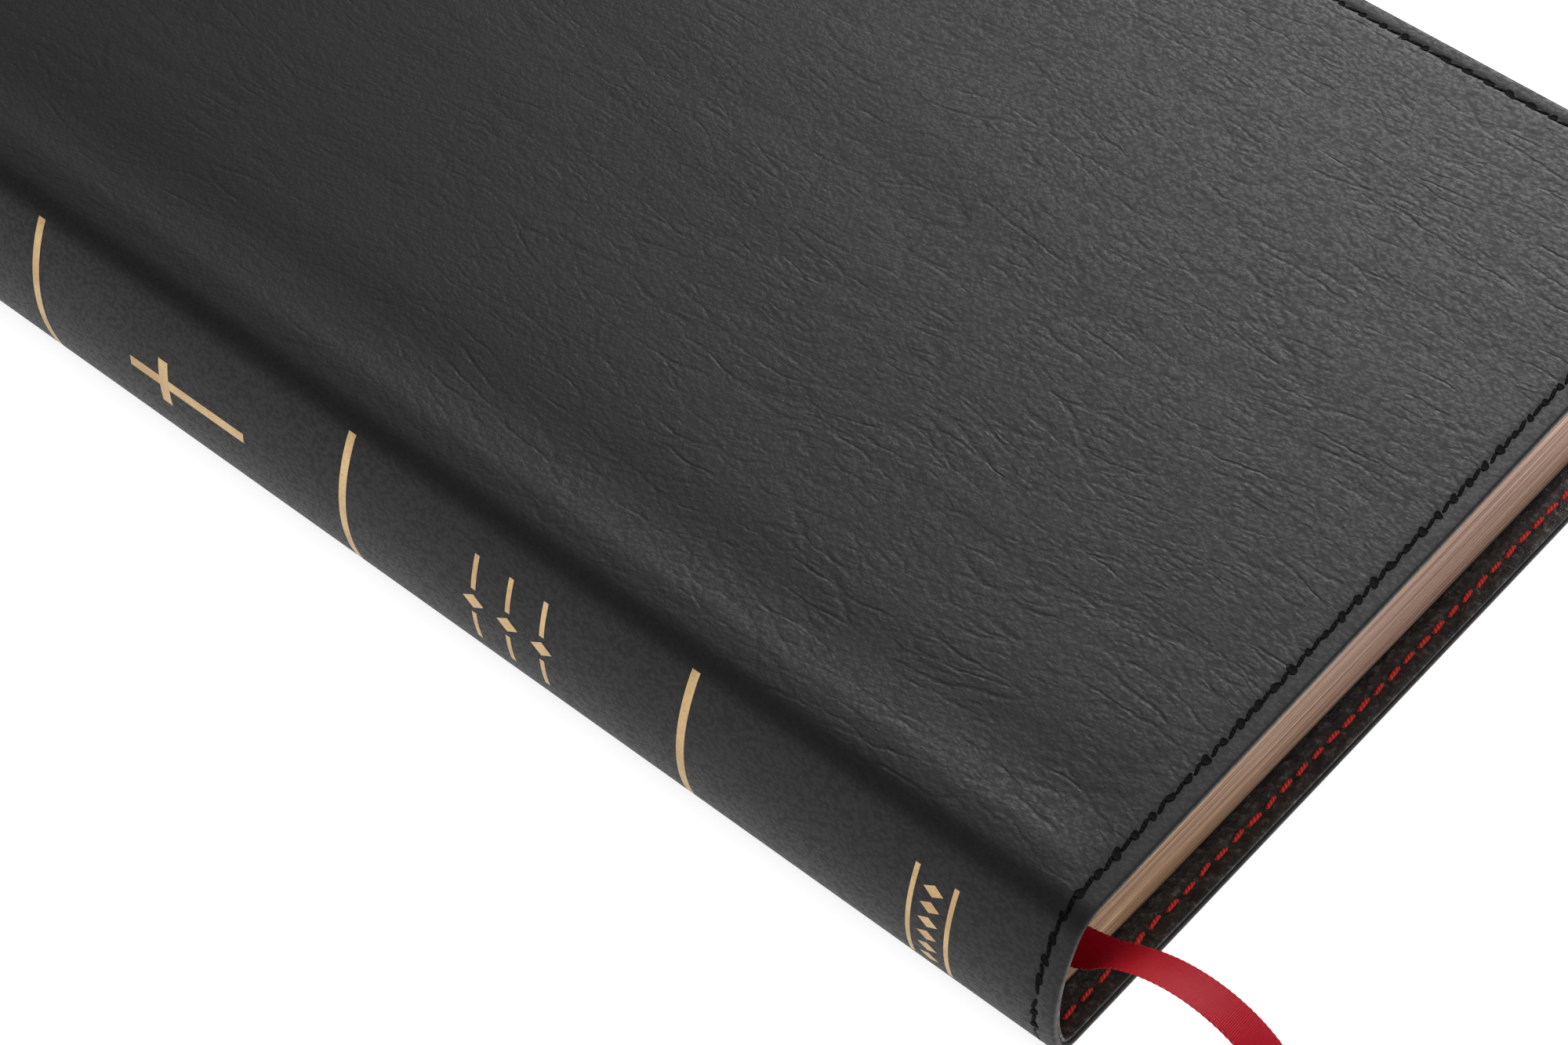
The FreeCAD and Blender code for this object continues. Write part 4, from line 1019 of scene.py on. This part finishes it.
def paper_material(name, low, high, roughness):
    material, tree, shader = new_material(name, {"Roughness": roughness, "Specular IOR Level": 0.25})
    spot = add(tree, "ShaderNodeTexCoord").outputs["Object"]
    fibre = noise(tree, scaled(tree, spot, (1, 0.35, 1)), 900, 3.0, 0.6)
    cloud = noise(tree, spot, 45, 2.0)
    mottle = maths(tree, "MULTIPLY", maths(tree, "ADD", fibre, cloud), 0.5)
    body = blend_colour(tree, ramp(tree, mottle, 0.35, 0.65), low, high)
    tree.links.new(body, shader.inputs["Base Color"])
    bump(tree, shader, fibre, 0.02 * MM)
    return material


page = paper_material("Thin page paper", (0.70, 0.645, 0.54, 1), (0.74, 0.69, 0.585, 1), 0.75)
endpaper = paper_material("Black endpaper", (0.012, 0.011, 0.011, 1), (0.024, 0.022, 0.021, 1), 0.6)
kraft = paper_material("Brown kraft paper", (0.20, 0.12, 0.06, 1), (0.29, 0.18, 0.10, 1), 0.8)
card = paper_material("Grey card", (0.20, 0.19, 0.175, 1), (0.27, 0.26, 0.24, 1), 0.85)
print("papers ready")

# %% Material: mull
MULL_PITCH = 0.8 * MM
mull, tree, shader = new_material("Mull cloth", {"Roughness": 0.9, "Sheen Weight": 0.2})
threads = add(tree, "ShaderNodeSeparateXYZ", {0: add(tree, "ShaderNodeTexCoord").outputs["Object"]})
warp_line, weft_line = (sine_rows(tree, threads.outputs[axis], MULL_PITCH) for axis in (1, 2))
weave = maths(tree, "MAXIMUM", warp_line, weft_line)
body = blend_colour(tree, weave, (0.25, 0.22, 0.17, 1), (0.62, 0.58, 0.50, 1))
tree.links.new(body, shader.inputs["Base Color"])
bump(tree, shader, weave, 0.12 * MM)

# %% [markdown]
# ## Red satin
#
# Satin floats its threads along the ribbon, so it shines across them.  Fine ribs run across the width, and
# the selvedge has a row of loops in a lighter red.

# %% Material: ribbon
RIB_PITCH = 0.26 * MM
satin, tree, shader = new_material("Red satin", {"Roughness": 0.50, "Specular IOR Level": 0.06})
weave_at = attribute(tree, "weave")
parts = add(tree, "ShaderNodeSeparateXYZ", {0: weave_at})
ribs = sine_rows(tree, parts.outputs[1], RIB_PITCH)
floats = noise(tree, scaled(tree, weave_at, (9000, 700, 1)), 1.0, 2.0)
selvedge = ramp(tree, maths(tree, "ABSOLUTE", parts.outputs[0]), 2.55 * MM, 2.85 * MM)
looped = maths(tree, "MULTIPLY", selvedge, sine_rows(tree, parts.outputs[1], PICOT, 0.0, 0.9))
body = blend_colour(tree, ramp(tree, floats, 0.3, 0.7), (0.25, 0.0010, 0.0080, 1), (0.36, 0.0020, 0.0125, 1))
body = blend_colour(tree, maths(tree, "MULTIPLY", ribs, 0.25), body, (0.42, 0.005, 0.018, 1))
body = blend_colour(tree, maths(tree, "MULTIPLY", looped, 0.5), body, (0.42, 0.03, 0.04, 1))
tree.links.new(body, shader.inputs["Base Color"])
tree.links.new(ramp(tree, floats, 0.3, 0.7, 0.42, 0.28), shader.inputs["Roughness"])
satin_height = maths(tree, "MULTIPLY_ADD", looped, 1.5, maths(tree, "MULTIPLY", ribs, 0.5))
bump(tree, shader, maths(tree, "MULTIPLY_ADD", floats, 0.5, satin_height), 0.05 * MM)
print("satin ready")

# %% [markdown]
# ## Dress every piece
#
# Most new pieces stand for a plain one in the frame.  The covers' stitches and holes, the foil on the spine,
# the leaves and the ribbon ride on a body; the leather, the lining and the stitches, holes and rules that
# reach a fold line are left on no body.

# %% Paint and mount the pieces
def dress(piece, material, slot_name, *nodes, body=None):
    piece.data.materials.clear()
    piece.data.materials.append(material)
    if nodes:
        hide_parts(*nodes)
    if body:
        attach(piece, body)


for piece, material, slot_name, nodes in (
        (leather_front, leather, "leather", ("front_cover_skin", "spine_skin")),
        (leather_back, leather, "leather", ("back_cover_skin",)),
        (lining_front, lining, "lining", ("front_cover_lining", "spine_lining")),
        (lining_back, lining, "lining", ("back_cover_lining",))):
    dress(piece, material, slot_name, *nodes)

upper_ends, lower_ends = [], []
across_fold = {"upper": upper_ends, "lower": lower_ends}
thread_finish = {"outer": black_thread, "inner": red_thread}
for (part, face), piece in stitches.items():
    node = "%s_stitches_%s" % ("spine" if part in across_fold else part, face)
    carrier = None if part in across_fold else part + "_cover"
    dress(piece, thread_finish[face], face + "_thread", node, body=carrier)
    across_fold.get(part, []).append(piece)
for part, piece in holes.items():
    carrier = None if part in across_fold else part + "_cover"
    dress(piece, needle_hole_painted_shade, "outer_thread", body=carrier)
    across_fold.get(part, []).append(piece)

slant = Vector((math.sqrt(0.5), 0, math.sqrt(0.5)))
for piece in (leather_front, lining_front, gold_rules_upper, *upper_ends):
    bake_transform(piece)
slant.z = -slant.z
for piece in (leather_back, lining_back, gold_rules_lower, *lower_ends):
    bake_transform(piece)

dress(gold_rules_upper, foil, "gold_foil", "spine_rules")
dress(gold_rules_lower, foil, "gold_foil")
dress(gold_bars, foil, "gold_foil", "spine_ornaments", body="spine")
dress(gold_diamonds, foil, "gold_foil", body="spine")
for node, piece in leaf_groups.items():
    dress(piece, gilt, "leaves", node, body=node if node.startswith("front") else "back_cover")
    piece.data.materials.append(page)
    for polygon in piece.data.polygons:
        if len(polygon.vertices) > 4:
            polygon.material_index = 1
for piece, node in ((ribbon_tail, "ribbon_tail"), (ribbon_inside, "ribbon_between_leaves"),
                    (ribbon_glued, "ribbon_anchor"), (ribbon_fold, "ribbon_head_fold")):
    dress(piece, satin, "ribbon", node, body="back_cover")

cad_finish = {
    "front_cover_card": (card, "card"), "back_cover_card": (card, "card"), "spine_card": (card, "card"),
    "front_pastedown": (endpaper, "endpaper"), "back_pastedown": (endpaper, "endpaper"),
    "front_flyleaf": (endpaper, "endpaper"), "back_flyleaf": (endpaper, "endpaper"),
    "mull_front": (mull, "mull"), "mull_rear": (mull, "mull"),
    "spine_paper_front": (kraft, "kraft"), "spine_paper_rear": (kraft, "kraft"),
}
for node, (material, slot_name) in cad_finish.items():
    dress(frame["nodes"][node], material, slot_name)

# %% [markdown]
# ## Table, light and camera
#
# A pale table, a bright surround and two large soft lamps: one high behind the fore edge, which rakes over
# the grain, and a weak one in front.  The camera looks down on the tail corner of the spine with a long
# lens.

# %% Table and surround
scene = bpy.context.scene
table_mesh = bpy.data.meshes.new("table")
table_mesh.from_pydata([(-4, -4, 0), (4, -4, 0), (4, 4, 0), (-4, 4, 0)], [], [(0, 1, 2, 3)])
table = bpy.data.objects.new("table", table_mesh)
table.location.z = -0.0002
scene.collection.objects.link(table)
table_finish, tree, shader = new_material("Pale table", {"Roughness": 0.9, "Specular IOR Level": 0.0})
tint = noise(tree, add(tree, "ShaderNodeTexCoord").outputs["Object"], 3.0, 2.0)
body = blend_colour(tree, tint, (0.86, 0.86, 0.86, 1), (0.88, 0.88, 0.88, 1))
tree.links.new(body, shader.inputs["Base Color"])
shader.inputs["Emission Color"].default_value = (1, 1, 1, 1)
shader.inputs["Emission Strength"].default_value = 0.80
table_mesh.materials.append(table_finish)

world = bpy.data.worlds.new("Bright studio")
scene.world = world
world.use_nodes = True
world.node_tree.nodes["Background"].inputs["Color"].default_value = (1, 1, 1, 1)
world.node_tree.nodes["Background"].inputs["Strength"].default_value = 0.36
scene.view_settings.view_transform = "Standard"


# %% Lamps
def lamp(name, place, target, size, power):
    light = bpy.data.lights.new(name, "AREA")
    light.shape = "RECTANGLE"
    light.size, light.size_y = size
    light.energy = power
    holder = bpy.data.objects.new(name, light)
    holder.location = place
    holder.rotation_euler = (Vector(target) - Vector(place)).to_track_quat("-Z", "Y").to_euler()
    scene.collection.objects.link(holder)


lamp("key", (1.05, 0.22, 0.70), (0, 0, 0), (0.7, 0.7), 20)
lamp("fill", (-0.1, -0.9, 1.1), (0, 0, 0), (1.0, 1.0), 3.5)

# %% Camera
camera = bpy.data.objects.new("camera", bpy.data.cameras.new("camera"))
scene.collection.objects.link(camera)
camera.data.lens = 82.5
camera.data.sensor_width = 36
camera.data.clip_start = 0.01
right = Vector((0.6452, -0.7631, 0.0369)).normalized()
forward = Vector((0.5194, 0.4028, -0.7536))
forward = (forward - right * forward.dot(right)).normalized()
above = right.cross(forward)
camera.matrix_world = Matrix((
    (right.x, above.x, -forward.x, -0.2888),
    (right.y, above.y, -forward.y, -0.2375),
    (right.z, above.z, -forward.z, 0.3746),
    (0, 0, 0, 1)))
scene.camera = camera
print("camera at", tuple(round(v, 3) for v in camera.location))
